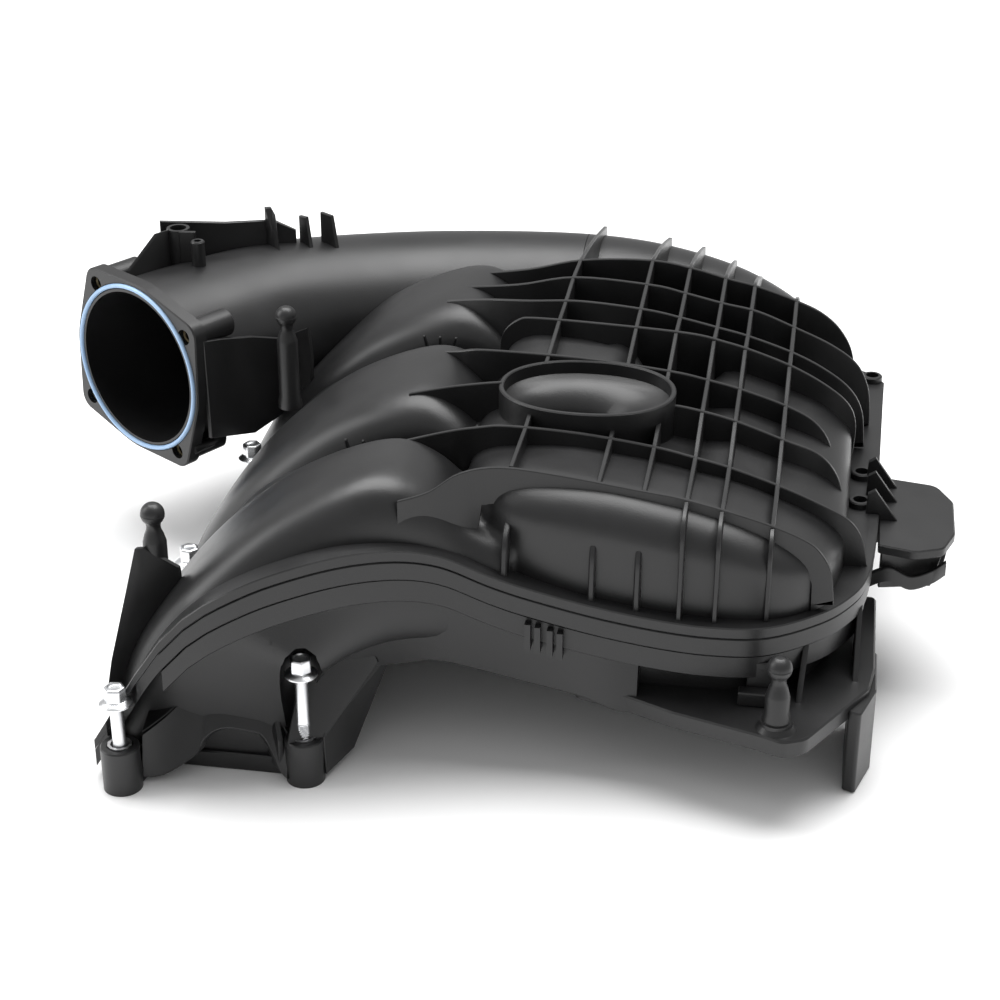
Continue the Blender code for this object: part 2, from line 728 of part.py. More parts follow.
def add_tube_ring(bm, base, axis, side, up, inner, outer, height, count=32):
    rows = []
    for radius, depth in ((inner, 0.0), (outer, 0.0), (outer, height), (inner, height)):
        rows.append([
            bm.verts.new(base + axis * depth + (side * math.cos(t) + up * math.sin(t)) * radius)
            for t in (2 * math.pi * i / count for i in range(count))
        ])
    for k in range(4):
        a = rows[k]
        b = rows[(k + 1) % 4]
        for i in range(count):
            j = (i + 1) % count
            bm.faces.new((a[i], a[j], b[j], b[i]))


def duct_bracket_forms():
    """Walls, plates and posts that stand on the duct behind the throttle flange."""
    plates = (
        ((-71, 105), (-22, 142), 96, 124), ((-98, 78), (-82, 100), 96, 133),
        ((-92, 88), (-56, 116), 120, 140), ((-80, 112), (-40, 138), 110, 145),
        ((-66, 106), (-60, 98), 120, 150), ((-30, 118), (-24, 138), 115, 146),
    )
    forms = []
    for (ax, ay), (bx, by), low, high in plates:
        start = Vector((ax * MM, ay * MM, 0))
        end = Vector((bx * MM, by * MM, 0))
        across = (end - start).cross(Vector((0, 0, 1))).normalized() * 1.2 * MM
        corners = [start + across, end + across, end - across, start - across]
        forms.append(form(add_prism, [(p.x, p.y) for p in corners], low * MM, high * MM))
    forms.append(form(add_cylinder, (-67 * MM, 93 * MM, 110 * MM), 3.6 * MM, 34 * MM))
    forms.append(form(add_cylinder, (-74 * MM, 103 * MM, 112 * MM), 5.5 * MM, 34 * MM))
    return forms


def make_dividers(mat):
    """A curved tongue in each hump that parts its two runners."""
    duct_clear = duct_part("form_duct_clear", 2 * JOINT_GAP + WALL, True)
    half = DIVIDER_THICKNESS / 2
    for name, y, shift in zip(RUNNER_NAMES, RUNNER_Y, FRONT_SHIFTS):
        bm = bmesh.new()
        rings = []
        for number, (middle, along, reach, width) in enumerate(hump_frames(y, shift)[:9]):
            if number == 0:
                middle = Vector((0.0, middle.y, FLANGE_THICKNESS + JOINT_GAP))
            side = Vector((0, width - WALL - DIVIDER_SIDE_GAP, 0))
            rings.append([middle + along * half + side, middle - along * half + side,
                          middle - along * half - side, middle + along * half - side])
        add_loft(bm, rings)
        obj = add_object(f"runner_divider_{name}", bm, mat)
        if name == "rear":
            boolean(obj, duct_clear, "DIFFERENCE")
        smooth(obj)


# ---------------------------------------------------------------- small pieces

def make_port_seals(mat):
    for name, x, y in port_places():
        bm = bmesh.new()
        add_ring_prism(
            bm, port_outline(x, y, GROOVE_OFFSET + JOINT_GAP),
            port_outline(x, y, GROOVE_OFFSET + SEAL_WIDTH - JOINT_GAP),
            GROOVE_DEPTH - JOINT_GAP - SEAL_HEIGHT + 1.2 * MM, GROOVE_DEPTH - JOINT_GAP,
        )
        smooth(add_object(f"port_seal_{name}", bm, mat))


def make_throttle_seal(mat):
    centre, outward, side, up = throttle_frame()
    bm = bmesh.new()
    add_tube_ring(bm, centre + outward * 0.8 * MM, -outward, side, up, THROTTLE_SEAL_R,
                  THROTTLE_SEAL_R + THROTTLE_SEAL_T, 3.0 * MM)
    smooth(add_object("throttle_seal", bm, mat))


def make_inserts(mat):
    centre, outward, side, up = throttle_frame()
    for number, (a, b) in enumerate(throttle_holes(), 1):
        bm = bmesh.new()
        base = centre + side * a + up * b - outward * 2.5 * MM
        add_tube_ring(bm, base, -outward, side, up, INSERT_BORE_D / 2, INSERT_D / 2, 12 * MM, 12)
        smooth(add_object(f"throttle_insert_{number}", bm, mat))


def make_sleeves(mat):
    for name, x, y, lift in bolt_places():
        bm = bmesh.new()
        base = Vector((x, y, 0.0))
        add_tube_ring(bm, base, Vector((0, 0, 1)), Vector((1, 0, 0)), Vector((0, 1, 0)),
                      SLEEVE_OUTER_D / 2 - SLEEVE_WALL, SLEEVE_OUTER_D / 2, BOSS_HEIGHT + 0.6 * MM, 12)
        smooth(add_object(f"sleeve_{name}", bm, mat))


def make_bolts(mat):
    """Each bolt's origin is on its axis where its flange meets the sleeve when tightened."""
    for name, x, y, lift in bolt_places():
        seat = BOSS_HEIGHT + 0.6 * MM + JOINT_GAP
        bm = bmesh.new()
        profile = (
            (BOLT_SHANK_D / 2 - 1 * MM, -BOLT_LENGTH), (BOLT_SHANK_D / 2, 1.5 * MM - BOLT_LENGTH),
            (BOLT_SHANK_D / 2, 0.0), (BOLT_FLANGE_D / 2, 0.0), (BOLT_FLANGE_D / 2, BOLT_FLANGE_T * 0.6),
            (BOLT_HEX_AF / 2 + 0.6 * MM, BOLT_FLANGE_T),
        )
        rings = [[Vector((*p, z)) for p in circle((0, 0), r, 12)] for r, z in profile]
        corner = BOLT_HEX_AF / math.sqrt(3)
        hexagon = []
        for i in range(12):
            angle = math.pi / 6 * i
            reach = corner if i % 2 == 0 else corner * math.cos(math.pi / 6)
            hexagon.append((reach * math.cos(angle), reach * math.sin(angle)))
        for z, scale in ((BOLT_FLANGE_T + 0.01 * MM, 1.0), (BOLT_HEX_H + BOLT_FLANGE_T, 1.0),
                         (BOLT_HEX_H + BOLT_FLANGE_T, 0.7), (BOLT_HEX_H + BOLT_FLANGE_T - 1 * MM, 0.6)):
            rings.append([Vector((px * scale, py * scale, z)) for px, py in hexagon])
        add_loft(bm, rings)
        obj = add_object(f"bolt_{name}", bm, mat)
        obj.location = (x, y, seat + lift)
        smooth(obj)


def make_studs(mat):
    """Ball studs: a turned profile with a Screw modifier about each stud's own axis."""
    for name, ball, height, foot in STUD_PLACES:
        bm = bmesh.new()
        r = STUD_BALL_D / 2
        profile = [(0.0, r)]
        profile += [(r * math.sin(a), r * math.cos(a)) for a in (0.6, 1.1, 1.57, 2.0)]
        profile += [
            (STUD_NECK_D / 2, -r - 0.5 * MM), (STUD_NECK_D / 2, -r - 2 * MM),
            (STUD_BODY_D / 2, -r - 6 * MM), (STUD_BODY_D / 2 + 0.8 * MM, -height), (0.0, -height),
        ]
        chain = [bm.verts.new((x, 0, z)) for x, z in profile]
        for a, b in zip(chain, chain[1:]):
            bm.edges.new((a, b))
        mesh = bpy.data.meshes.new(f"cover_stud_{name}")
        bm.to_mesh(mesh)
        bm.free()
        mesh.materials.append(mat)
        obj = bpy.data.objects.new(f"cover_stud_{name}", mesh)
        parts.objects.link(obj)
        obj.location = ball
        screw = obj.modifiers.new("turn", "SCREW")
        screw.steps = 14
        screw.render_steps = 14
        screw.use_merge_vertices = True
        screw.merge_threshold = 0.00001


def make_side_bracket(mat):
    """Moulded bracket on the closed end: a rounded plate on two side walls."""
    top = [(264.5, -30), (282, -34), (292, -28), (297, -14), (297, 16), (290, 32), (268, 36), (264.5, 34)]
    obj = add_object("side_bracket", form(add_prism, [(x * MM, y * MM) for x, y in top], 66 * MM, 72 * MM), mat)
    under = [(264.5, -26), (286, -22), (294, -10), (290, 20), (264.5, 26)]
    combine(obj, "web", [form(add_prism, [(x * MM, y * MM) for x, y in under], 50 * MM, 67 * MM)])
    room = form(add_box, (262 * MM, -18 * MM, 40 * MM), (288 * MM, 18 * MM, 63 * MM))
    combine(obj, "room", [room], "DIFFERENCE")
    smooth(obj)


def main():
    global parts, cutters
    clear_scene()
    parts = new_collection("intake_manifold")
    cutters = new_collection("cutters")
    nylon = material("black_nylon", (0.018, 0.018, 0.02), 0.42)
    inner_nylon = material("inner_nylon", (0.02, 0.02, 0.022), 0.5)
    zinc = material("zinc_steel", (0.75, 0.76, 0.78), 0.25, 1.0)
    sleeve_steel = material("sleeve_steel", (0.6, 0.6, 0.6), 0.35, 1.0)
    brass = material("insert_brass", (0.75, 0.55, 0.25), 0.35, 1.0)
    blue = material("blue_silicone", (0.35, 0.6, 0.9), 0.45)
    seal_rubber = material("seal_rubber", (0.05, 0.12, 0.3), 0.5)
    duct_room = duct_part("form_duct_room", JOINT_GAP, True)
    duct_keep = duct_part("form_duct_keep", JOINT_GAP + WALL, True)
    duct_end = duct_part("form_duct_end", 0.0, False)
    hollow = make_hollow(duct_keep)
    make_upper_shell(nylon, hollow, duct_end, duct_room)
    make_lower_shell(nylon, hollow, duct_end, duct_room)
    make_duct(nylon)
    make_dividers(inner_nylon)
    make_port_seals(seal_rubber)
    make_throttle_seal(blue)
    make_inserts(brass)
    make_sleeves(sleeve_steel)
    make_bolts(zinc)
    make_studs(nylon)
    make_side_bracket(nylon)


main()
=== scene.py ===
"""Looks of the moulded intake manifold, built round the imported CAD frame.

Lengths are in millimetres, except where the lights and the camera stand, which is in metres.
"""

import math

import bmesh
import bpy
import numpy as np
from mathutils import Matrix, Vector


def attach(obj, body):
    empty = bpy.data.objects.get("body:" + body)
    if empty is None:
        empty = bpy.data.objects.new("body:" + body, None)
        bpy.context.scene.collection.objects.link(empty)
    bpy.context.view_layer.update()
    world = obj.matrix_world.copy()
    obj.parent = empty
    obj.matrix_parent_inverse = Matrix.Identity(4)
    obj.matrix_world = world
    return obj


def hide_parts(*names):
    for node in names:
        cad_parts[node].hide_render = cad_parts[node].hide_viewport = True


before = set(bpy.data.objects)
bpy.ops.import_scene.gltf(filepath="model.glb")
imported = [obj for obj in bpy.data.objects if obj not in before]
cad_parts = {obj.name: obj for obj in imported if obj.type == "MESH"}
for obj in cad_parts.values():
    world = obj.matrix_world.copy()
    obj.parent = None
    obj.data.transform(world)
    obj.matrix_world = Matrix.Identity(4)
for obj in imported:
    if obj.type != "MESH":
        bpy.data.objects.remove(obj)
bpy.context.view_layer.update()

MM = 0.001
PITCH = 103.0
RUNNER_Y = (-PITCH, 0.0, PITCH)
VOXEL = 1.7
WALL = 3.0

RIM_LINE = (
    (-60, -8), (-45, 14), (-33, 34), (-18, 58), (-2, 76), (16, 88), (36, 96), (56, 100), (76, 99),
    (92, 94), (112, 85), (135, 79), (160, 74), (185, 71), (215, 70), (300, 70),
)


# ---------------------------------------------------------------- materials

def new_material(name):
    made = bpy.data.materials.new(name)
    made.use_nodes = True
    nodes = made.node_tree.nodes
    return made, nodes, made.node_tree.links, nodes["Principled BSDF"]


def noise(nodes, links, scale, detail=4.0):
    where = nodes.new("ShaderNodeTexCoord")
    made = nodes.new("ShaderNodeTexNoise")
    made.inputs["Scale"].default_value = scale
    made.inputs["Detail"].default_value = detail
    links.new(where.outputs["Object"], made.inputs["Vector"])
    return made.outputs["Fac"]


def ranged(nodes, links, value, low, high):
    made = nodes.new("ShaderNodeMapRange")
    made.inputs["From Min"].default_value = 0.3
    made.inputs["From Max"].default_value = 0.7
    made.inputs["To Min"].default_value = low
    made.inputs["To Max"].default_value = high
    links.new(value, made.inputs["Value"])
    return made.outputs["Result"]


def ramp(nodes, links, value, dark, light):
    made = nodes.new("ShaderNodeValToRGB")
    made.color_ramp.elements[0].position = 0.3
    made.color_ramp.elements[1].position = 0.7
    made.color_ramp.elements[0].color = (*dark, 1)
    made.color_ramp.elements[1].color = (*light, 1)
    links.new(value, made.inputs["Fac"])
    return made.outputs["Color"]


def bump(nodes, links, value, strength, depth):
    made = nodes.new("ShaderNodeBump")
    made.inputs["Strength"].default_value = strength
    made.inputs["Distance"].default_value = depth * MM
    links.new(value, made.inputs["Height"])
    return made.outputs["Normal"]


def grained(name, dark, light, rough, grain_scale, grain, depth=0.15, metallic=0.0, level=0.5):
    """A moulded or plated surface: slow colour and gloss drift, and a fine grain."""
    made, nodes, links, shader = new_material(name)
    slow = noise(nodes, links, 35.0)
    fine = noise(nodes, links, grain_scale, 6.0)
    links.new(ramp(nodes, links, slow, dark, light), shader.inputs["Base Color"])
    links.new(ranged(nodes, links, slow, rough[0], rough[1]), shader.inputs["Roughness"])
    links.new(bump(nodes, links, fine, grain, depth), shader.inputs["Normal"])
    shader.inputs["Metallic"].default_value = metallic
    shader.inputs["Specular IOR Level"].default_value = level
    return made


NYLON = grained("moulded nylon", (0.0085, 0.0085, 0.0088), (0.0125, 0.0125, 0.013), (0.34, 0.42),
                1700.0, 0.30)
INNER = grained("inner nylon", (0.011, 0.011, 0.012), (0.016, 0.016, 0.017), (0.45, 0.55), 1500.0, 0.3)
ZINC = grained("bright zinc", (0.72, 0.73, 0.75), (0.86, 0.87, 0.88), (0.22, 0.32), 900.0, 0.12, 0.08, 1.0)
STEEL = grained("sleeve steel", (0.42, 0.42, 0.43), (0.55, 0.55, 0.56), (0.3, 0.42), 900.0, 0.15, 0.08, 1.0)
BRASS = grained("insert brass", (0.10, 0.085, 0.05), (0.16, 0.13, 0.08), (0.35, 0.5),
                900.0, 0.15, 0.08, 1.0)
BLUE = grained("blue silicone", (0.33, 0.50, 0.74), (0.42, 0.60, 0.84), (0.36, 0.46), 700.0, 0.12, 0.1)
RUBBER = grained("port seal rubber", (0.03, 0.07, 0.2), (0.05, 0.1, 0.27), (0.45, 0.55), 700.0, 0.2)


# ---------------------------------------------------------------- mesh helpers, all in millimetres

def finish_mesh(name, bm, mat, angle=32, body="manifold", replaces=()):
    bmesh.ops.recalc_face_normals(bm, faces=bm.faces)
    bmesh.ops.scale(bm, vec=(MM, MM, MM), verts=bm.verts)
    mesh = bpy.data.meshes.new(name)
    bm.to_mesh(mesh)
    bm.free()
    obj = bpy.data.objects.new(name, mesh)
    bpy.context.scene.collection.objects.link(obj)
    mesh.materials.append(mat)
    mesh.shade_smooth()
    mesh.set_sharp_from_angle(angle=math.radians(angle))
    if body:
        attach(obj, body)
        if replaces:
            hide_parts(*replaces)
    return obj


def loft(bm, rings, caps=True):
    rows = [[bm.verts.new(tuple(p)) for p in ring] for ring in rings]
    count = len(rows[0])
    for lower, upper in zip(rows, rows[1:]):
        for i in range(count):
            j = (i + 1) % count
            bm.faces.new((lower[i], lower[j], upper[j], upper[i]))
    if caps:
        for ring in (rows[0], rows[-1]):
            centre = bm.verts.new(tuple(sum((v.co for v in ring), Vector()) / count))
            for i in range(count):
                bm.faces.new((ring[i], ring[(i + 1) % count], centre))


def prism(bm, outline, low, high, edge=0.0):
    """Upright prism with its top and bottom edges eased."""
    outline = np.array(outline, float)
    if edge:
        inner = offset(outline, -edge)
        levels = ((inner, low), (outline, low + edge), (outline, high - edge), (inner, high))
    else:
        levels = ((outline, low), (outline, high))
    loft(bm, [[(x, y, z) for x, y in ring] for ring, z in levels])


def offset(outline, by):
    """The outline moved out by a distance along its own normals."""
    outline = np.array(outline, float)
    before = np.roll(outline, 1, axis=0)
    after = np.roll(outline, -1, axis=0)
    a = outline - before
    b = after - outline
    a /= np.linalg.norm(a, axis=1)[:, None] + 1e-9
    b /= np.linalg.norm(b, axis=1)[:, None] + 1e-9
    na = np.stack([a[:, 1], -a[:, 0]], 1)
    nb = np.stack([b[:, 1], -b[:, 0]], 1)
    mid = na + nb
    mid /= np.linalg.norm(mid, axis=1)[:, None] + 1e-9
    scale = 1 / np.maximum(0.5, (mid * na).sum(1))
    turn = np.sign(np.sum(outline[:, 0] * after[:, 1] - after[:, 0] * outline[:, 1]))
    return outline + mid * (scale * by * turn)[:, None]


def smooth_line(points, steps=6, closed=False):
    """Catmull-Rom curve through the points."""
    points = np.array(points, float)
    n = len(points)
    out = []
    for i in range(n if closed else n - 1):
        if closed:
            a, b, c, d = (points[(i + k) % n] for k in (-1, 0, 1, 2))
        else:
            a, b, c, d = (points[min(max(i + k, 0), n - 1)] for k in (-1, 0, 1, 2))
        for t in np.arange(steps) / steps:
            out.append(0.5 * (2 * b + (c - a) * t + (2 * a - 5 * b + 4 * c - d) * t * t
                              + (3 * b - a - 3 * c + d) * t ** 3))
    if not closed:
        out.append(points[-1])
    return np.array(out)


def rounded(points, radius, steps=5):
    """A closed outline with each corner rounded; radius may be one number or one for each corner."""
    points = np.array(points, float)
    n = len(points)
    radii = [radius] * n if np.isscalar(radius) else radius
    out = []
    for i in range(n):
        p, q, r = points[i - 1], points[i], points[(i + 1) % n]
        u = (p - q) / np.linalg.norm(p - q)
        v = (r - q) / np.linalg.norm(r - q)
        half = math.acos(max(-0.999, min(0.999, float(u @ v)))) / 2
        reach = min(radii[i] / math.tan(half), np.linalg.norm(p - q) * 0.48, np.linalg.norm(r - q) * 0.48)
        for k in range(steps + 1):
            t = k / steps
            out.append((1 - t) ** 2 * (q + u * reach) + 2 * t * (1 - t) * q + t * t * (q + v * reach))
    return np.array(out)


def superellipse(centre, half, power, count):
    t = 2 * np.pi * (np.arange(count) + 0.5) / count
    c, s = np.cos(t), np.sin(t)
    return np.stack([centre[0] + half[0] * np.sign(c) * abs(c) ** (2 / power),
                     centre[1] + half[1] * np.sign(s) * abs(s) ** (2 / power)], 1)


def circle(centre, radius, count=48):
    t = 2 * np.pi * np.arange(count) / count
    return np.stack([centre[0] + radius * np.cos(t), centre[1] + radius * np.sin(t)], 1)


def hull(points):
    points = sorted(set((round(float(x), 5), round(float(y), 5)) for x, y in points))
    halves = []
    for order in (points, points[::-1]):
        chain = []
        for p in order:
            while len(chain) > 1:
                (ax, ay), (bx, by) = chain[-2:]
                if (bx - ax) * (p[1] - ay) - (by - ay) * (p[0] - ax) > 0:
                    break
                chain.pop()
            chain.append(p)
        halves.append(chain[:-1])
    return np.array(halves[0] + halves[1])


def frame_of(axis):
    axis = np.array(axis, float)
    axis /= np.linalg.norm(axis)
    helper = np.array([0, 0, 1.0]) if abs(axis[2]) < 0.9 else np.array([0, 1.0, 0])
    side = np.cross(helper, axis)
    side /= np.linalg.norm(side)
    return side, np.cross(axis, side), axis


def lathe(bm, profile, base, axis=(0, 0, 1), count=48, closed=False):
    """Turn (radius, height) pairs about an axis; closed joins the last ring to the first, as for a tube."""
    side, up, along = frame_of(axis)
    base = np.array(base, float)
    t = 2 * np.pi * np.arange(count) / count
    rings = []
    for r, h in profile:
        rings.append(base + along * h + r * (np.cos(t)[:, None] * side + np.sin(t)[:, None] * up))
    if closed:
        rings.append(rings[0])
    loft(bm, rings, caps=not closed)
    if closed:
        bmesh.ops.remove_doubles(bm, verts=bm.verts, dist=1e-4)


def ribbon(bm, inner, outer, half, across=None, top=0.35):
    """A thin upright rib between an inner and an outer line, with its free edge eased."""
    inner = np.array(inner, float)
    outer = np.array(outer, float)
    rings = []
    n = len(inner)
    for i in range(n):
        if across is None:
            ahead = outer[min(i + 1, n - 1)] - outer[max(i - 1, 0)]
            rise = outer[i] - inner[i]
            side = np.cross(ahead, rise)
            length = np.linalg.norm(side)
            side = side / length if length > 1e-6 else np.array([0, 1.0, 0])
        else:
            side = np.array(across, float)
        rise = outer[i] - inner[i]
        reach = np.linalg.norm(rise) + 1e-9
        up = rise / reach
        base_half = half * 1.25
        shoulder = outer[i] - up * min(top, reach * 0.4)
        rings.append([inner[i] - side * base_half, inner[i] + side * base_half,
                      shoulder + side * half, outer[i] + side * (half - top * 0.8),
                      outer[i] - side * (half - top * 0.8), shoulder - side * half])
    loft(bm, rings)


def wall_plate(bm, corners, half, across):
    """A flat plate given by its outline in its own plane, thickened both ways."""
    across = np.array(across, float)
    across /= np.linalg.norm(across)
    corners = np.array(corners, float)
    centre = corners.mean(0)
    inset = corners + (centre - corners) / (np.linalg.norm(centre - corners, axis=1)[:, None] + 1e-9) * 0.4
    loft(bm, [inset - across * half, corners - across * (half - 0.35), corners + across * (half - 0.35),
              inset + across * half])


# ---------------------------------------------------------------- shared form rules

def rim_z(x):
    return np.interp(x, SMOOTH_RIM[:, 0], SMOOTH_RIM[:, 1])


SMOOTH_RIM = smooth_line(RIM_LINE, 8)


def roof_z(x, y):
    past = np.maximum(0.0, x - 127.0)
    front = np.clip((-58.0 - y) / 30.0, 0.0, 1.0)
    return 118.0 + 0.086 * (y + 80.0) - 0.0019 * past * past + 6.5 * front


def crest(share):
    angle = math.pi / 2 * share
    return (62 - 112 * math.cos(angle) ** (2 / 1.5), 10 + 117 * math.sin(angle) ** (2 / 1.5))


def hump_frames(centre_y, shift):
    inner = ((45, 18), (44, 32), (47, 44), (54, 51), (64, 54), (76, 54))
    stations = [((-50, 0), (47, 0))]
    stations += [(crest(s), p) for s, p in zip((0.02, 0.2, 0.36, 0.52, 0.72, 1.0), inner)]
    stations += [((82, 122), (90, 52)), ((100, 106), (104, 50)), ((118, 98), (120, 50))]
    flat = smooth_line([(*a, *b) for a, b in stations], 5)
    frames = []
    for number, (ax, az, bx, bz) in enumerate(flat):
        top, bottom = np.array([ax, 0, az]), np.array([bx, 0, bz])
        middle = (top + bottom) / 2
        spread = min(1.0, (number / 20) ** 1.5)
        narrow = shift * min(1.0, max(0.0, middle[0] - 20) / 80)
        width = 62 + 22 * spread - narrow
        middle[1] = centre_y + narrow / 2
        half = np.linalg.norm(top - bottom) / 2
        frames.append((middle, (top - bottom) / (2 * half), half, width / 2))
    return frames


def hump(bm, centre_y, shift, wall, count=56):
    rings = []
    frames = hump_frames(centre_y, shift)
    for number, (middle, along, half, width) in enumerate(frames):
        middle = middle.copy()
        if number == 0:
            middle[2] += 8 if wall else 0
        elif number == len(frames) - 1:
            middle[0] += 2 * wall
        flat = superellipse((0, 0), (half - wall, width - wall), 4.2, count)
        rings.append([middle + along * a + np.array([0, b, 0]) for a, b in flat])
    loft(bm, rings)


def dome(bm, wall, count=96):
    centre, size = (172, 3), (79, 112)
    floor = 34 + wall
    low = superellipse(centre, (size[0] - wall - 6, size[1] - wall - 6), 4.5, count)
    rings = [[(x, y, floor) for x, y in low], [(x, y, floor + 4) for x, y in offset(low, 4)]]
    turns = [(0.0, 0.0)] + [(19 * (1 - math.cos(a)) ** 1.15, 0.64 + 0.36 * math.sin(a))
                            for a in np.linspace(0, math.pi / 2, 9)] + [(50, 1.0)]
    for inset, share in turns:
        half = (size[0] - wall - inset, size[1] - wall - inset)
        ring = []
        for x, y in superellipse(centre, half, 4.5, count):
            top = roof_z(x, y) - wall
            behind = min(1.0, max(0.0, y - 50) / 14)
            behind = behind * behind * (3 - 2 * behind)
            top = top + (92 - wall - top) * behind
            base = rim_z(x)
            ring.append((x, y, base + (top - base) * share))
        rings.append(ring)
    loft(bm, rings)


DUCT_PATH = ((-90, 57, 91, 41.7), (-70, 88, 90, 41.7), (-36, 130, 89, 41), (14, 164, 84, 41.5),
             (66, 185, 81, 41), (114, 196, 79, 40), (150, 194, 78, 38), (184, 182, 76, 35),
             (210, 156, 74, 31), (219, 122, 72, 27), (221, 98, 72, 24))


def duct(bm, wall, first=0.0, count=64, cut=None):
    line = smooth_line(DUCT_PATH, 6)
    rings = []
    for i, row in enumerate(line):
        if cut and not cut(row[0], i):
            continue
        ahead = line[min(i + 1, len(line) - 1)][:3] - line[max(i - 1, 0)][:3]
        if i == 0:
            ahead = np.array([math.sin(math.radians(31.5)), math.cos(math.radians(31.5)), 0])
        ahead /= np.linalg.norm(ahead)
        side = np.cross(ahead, (0, 0, 1))
        side /= np.linalg.norm(side)
        up = np.cross(side, ahead)
        centre = row[:3] + ahead * (first if i == 0 else (3 * wall if i == len(line) - 1 else 0))
        t = 2 * np.pi * np.arange(count) / count
        rings.append(centre + (row[3] - wall) * (np.cos(t)[:, None] * side + np.sin(t)[:, None] * up))
    loft(bm, rings)


def add_mesh(bm, other):
    """Copy another bmesh's faces into this one."""
    mesh = bpy.data.meshes.new("copy")
    other.to_mesh(mesh)
    other.free()
    bm.from_mesh(mesh)
    bpy.data.meshes.remove(mesh)


def hidden(name, bm):
    bmesh.ops.recalc_face_normals(bm, faces=bm.faces)
    mesh = bpy.data.meshes.new(name)
    bm.to_mesh(mesh)
    bm.free()
    obj = bpy.data.objects.new(name, mesh)
    bpy.context.scene.collection.objects.link(obj)
    return obj


def evaluated_bmesh(obj):
    """The object's mesh after its modifiers, and the object itself taken away."""
    graph = bpy.context.evaluated_depsgraph_get()
    mesh = bpy.data.meshes.new_from_object(obj.evaluated_get(graph))
    bm = bmesh.new()
    bm.from_mesh(mesh)
    bpy.data.objects.remove(obj, do_unlink=True)
    return bm


def softened(name, bm, steps, voxel=VOXEL):
    """One skin round overlapping closed forms, with its inner corners filleted."""
    obj = hidden(name, bm)
    remesh = obj.modifiers.new("skin", "REMESH")
    remesh.mode = "VOXEL"
    remesh.voxel_size = voxel
    remesh.adaptivity = 0.0
    ease = obj.modifiers.new("ease", "SMOOTH")
    ease.factor = 0.5
    ease.iterations = steps
    return evaluated_bmesh(obj)


def boolean(bm, others):
    """Closed-mesh Booleans: others is a list of (operation, bmesh)."""
    obj = hidden("work", bm)
    tools = []
    for operation, other in others:
        tool = hidden("tool", other)
        tools.append(tool)
        modifier = obj.modifiers.new("cut", "BOOLEAN")
        modifier.operation = operation
        modifier.object = tool
        modifier.solver = "MANIFOLD"
    bpy.context.view_layer.update()
    result = evaluated_bmesh(obj)
    for tool in tools:
        bpy.data.objects.remove(tool, do_unlink=True)
    return result


def form(add, *values, **named):
    bm = bmesh.new()
    add(bm, *values, **named)
    return bm


def split(bm, above):
    shift = -0.1 if above else 0.1
    far = 260 if above else -60
    rings = []
    for x in [-200.0] + list(SMOOTH_RIM[:-1, 0]) + [400.0]:
        z = float(rim_z(x)) + shift
        rings.append([(x, -260, z), (x, 330, z), (x, 330, far), (x, -260, far)])
    loft(bm, rings)


def box(bm, low, high):
    (x0, y0, z0), (x1, y1, z1) = low, high
    loft(bm, [[(x0, y0, z), (x1, y0, z), (x1, y1, z), (x0, y1, z)] for z in (z0, z1)])


# ---------------------------------------------------------------- roof ribs

CROSS_RIBS = (
    ((76, -118, 121), (87, -111, 122.5), (98, -104, 128), (113, -97, 128.5), (137, -96, 126.5),
     (168, -95, 122), (184, -95, 120), (202, -95, 116), (220, -95, 111), (233, -95, 106),
     (240, -95, 101), (245, -95, 92), (247, -95, 78)),
    ((62, -76, 124.5), (84, -63, 126), (98, -59, 127.5), (110, -58, 128.5), (139, -56, 126.5),
     (169, -55, 122.5), (186, -55, 119), (201, -55, 115.5), (221, -55, 109), (236, -55, 103),
     (250, -55, 96), (256, -55, 89), (259, -55, 80), (260, -55, 73)),
    ((62, -27, 126), (82, -25, 130), (104, -24, 133), (112, -24, 131.5), (167, -24, 126.5),
     (175, -23, 127), (188, -23, 125), (202, -23, 121.5), (222, -23, 114.5), (236, -22, 109),
     (244, -22, 101), (248, -22, 90), (249, -22, 76)),
    ((62, 22, 125), (76, 15, 129), (89, 10, 132.5), (131, 7, 133), (170, 6, 130), (187, 6, 127),
     (202, 6, 123.5), (222, 6, 117), (234, 6, 110.5), (241, 6, 101), (243, 6, 90), (244, 6, 76)),
    ((90, 42, 100), (90, 42, 118), (91.5, 42, 128), (98, 42, 134.5), (107, 42, 136), (140, 40, 136),
     (176, 39, 134.5), (192, 39, 131.5), (205, 39, 128), (223, 39, 121.5), (238, 38, 114),
     (248, 38, 106), (252, 38, 97), (252, 38, 85), (251, 38, 76)),
    ((58, 81, 126), (76, 73, 131), (100, 65, 135), (124, 62, 137.5), (154, 58, 137), (171, 58, 134),
     (187, 58, 130.5), (202, 58, 127), (223, 58, 120), (238, 58, 112.5), (249, 58, 104), (255, 58, 93),
     (257, 58, 76)),
    ((58, 99, 126), (90, 92, 132), (118, 88, 139), (154, 84, 139), (170, 84, 136), (188, 84, 132),
     (204, 84, 129), (222, 84, 122), (239, 84, 114.5), (251, 84, 106), (257, 84, 95), (259, 84, 82),
     (259, 84, 75)),
    ((64, 121, 125), (92, 116, 131), (118, 114, 138), (151, 111, 141), (172, 111, 138), (188, 111, 134),
     (202, 111, 131), (222, 111, 124.5), (234, 111, 119), (243, 111, 111), (249, 111, 100),
     (251, 111, 85), (251, 111, 75)),
)
LONG_X = (117, 152, 170, 187, 201, 221)
HALF_RIB = 0.95
LAST_BROKEN_X = 175  # the long ribs further right run down the front wall
BEND_R = 12  # of their bend from the wall on to the roof


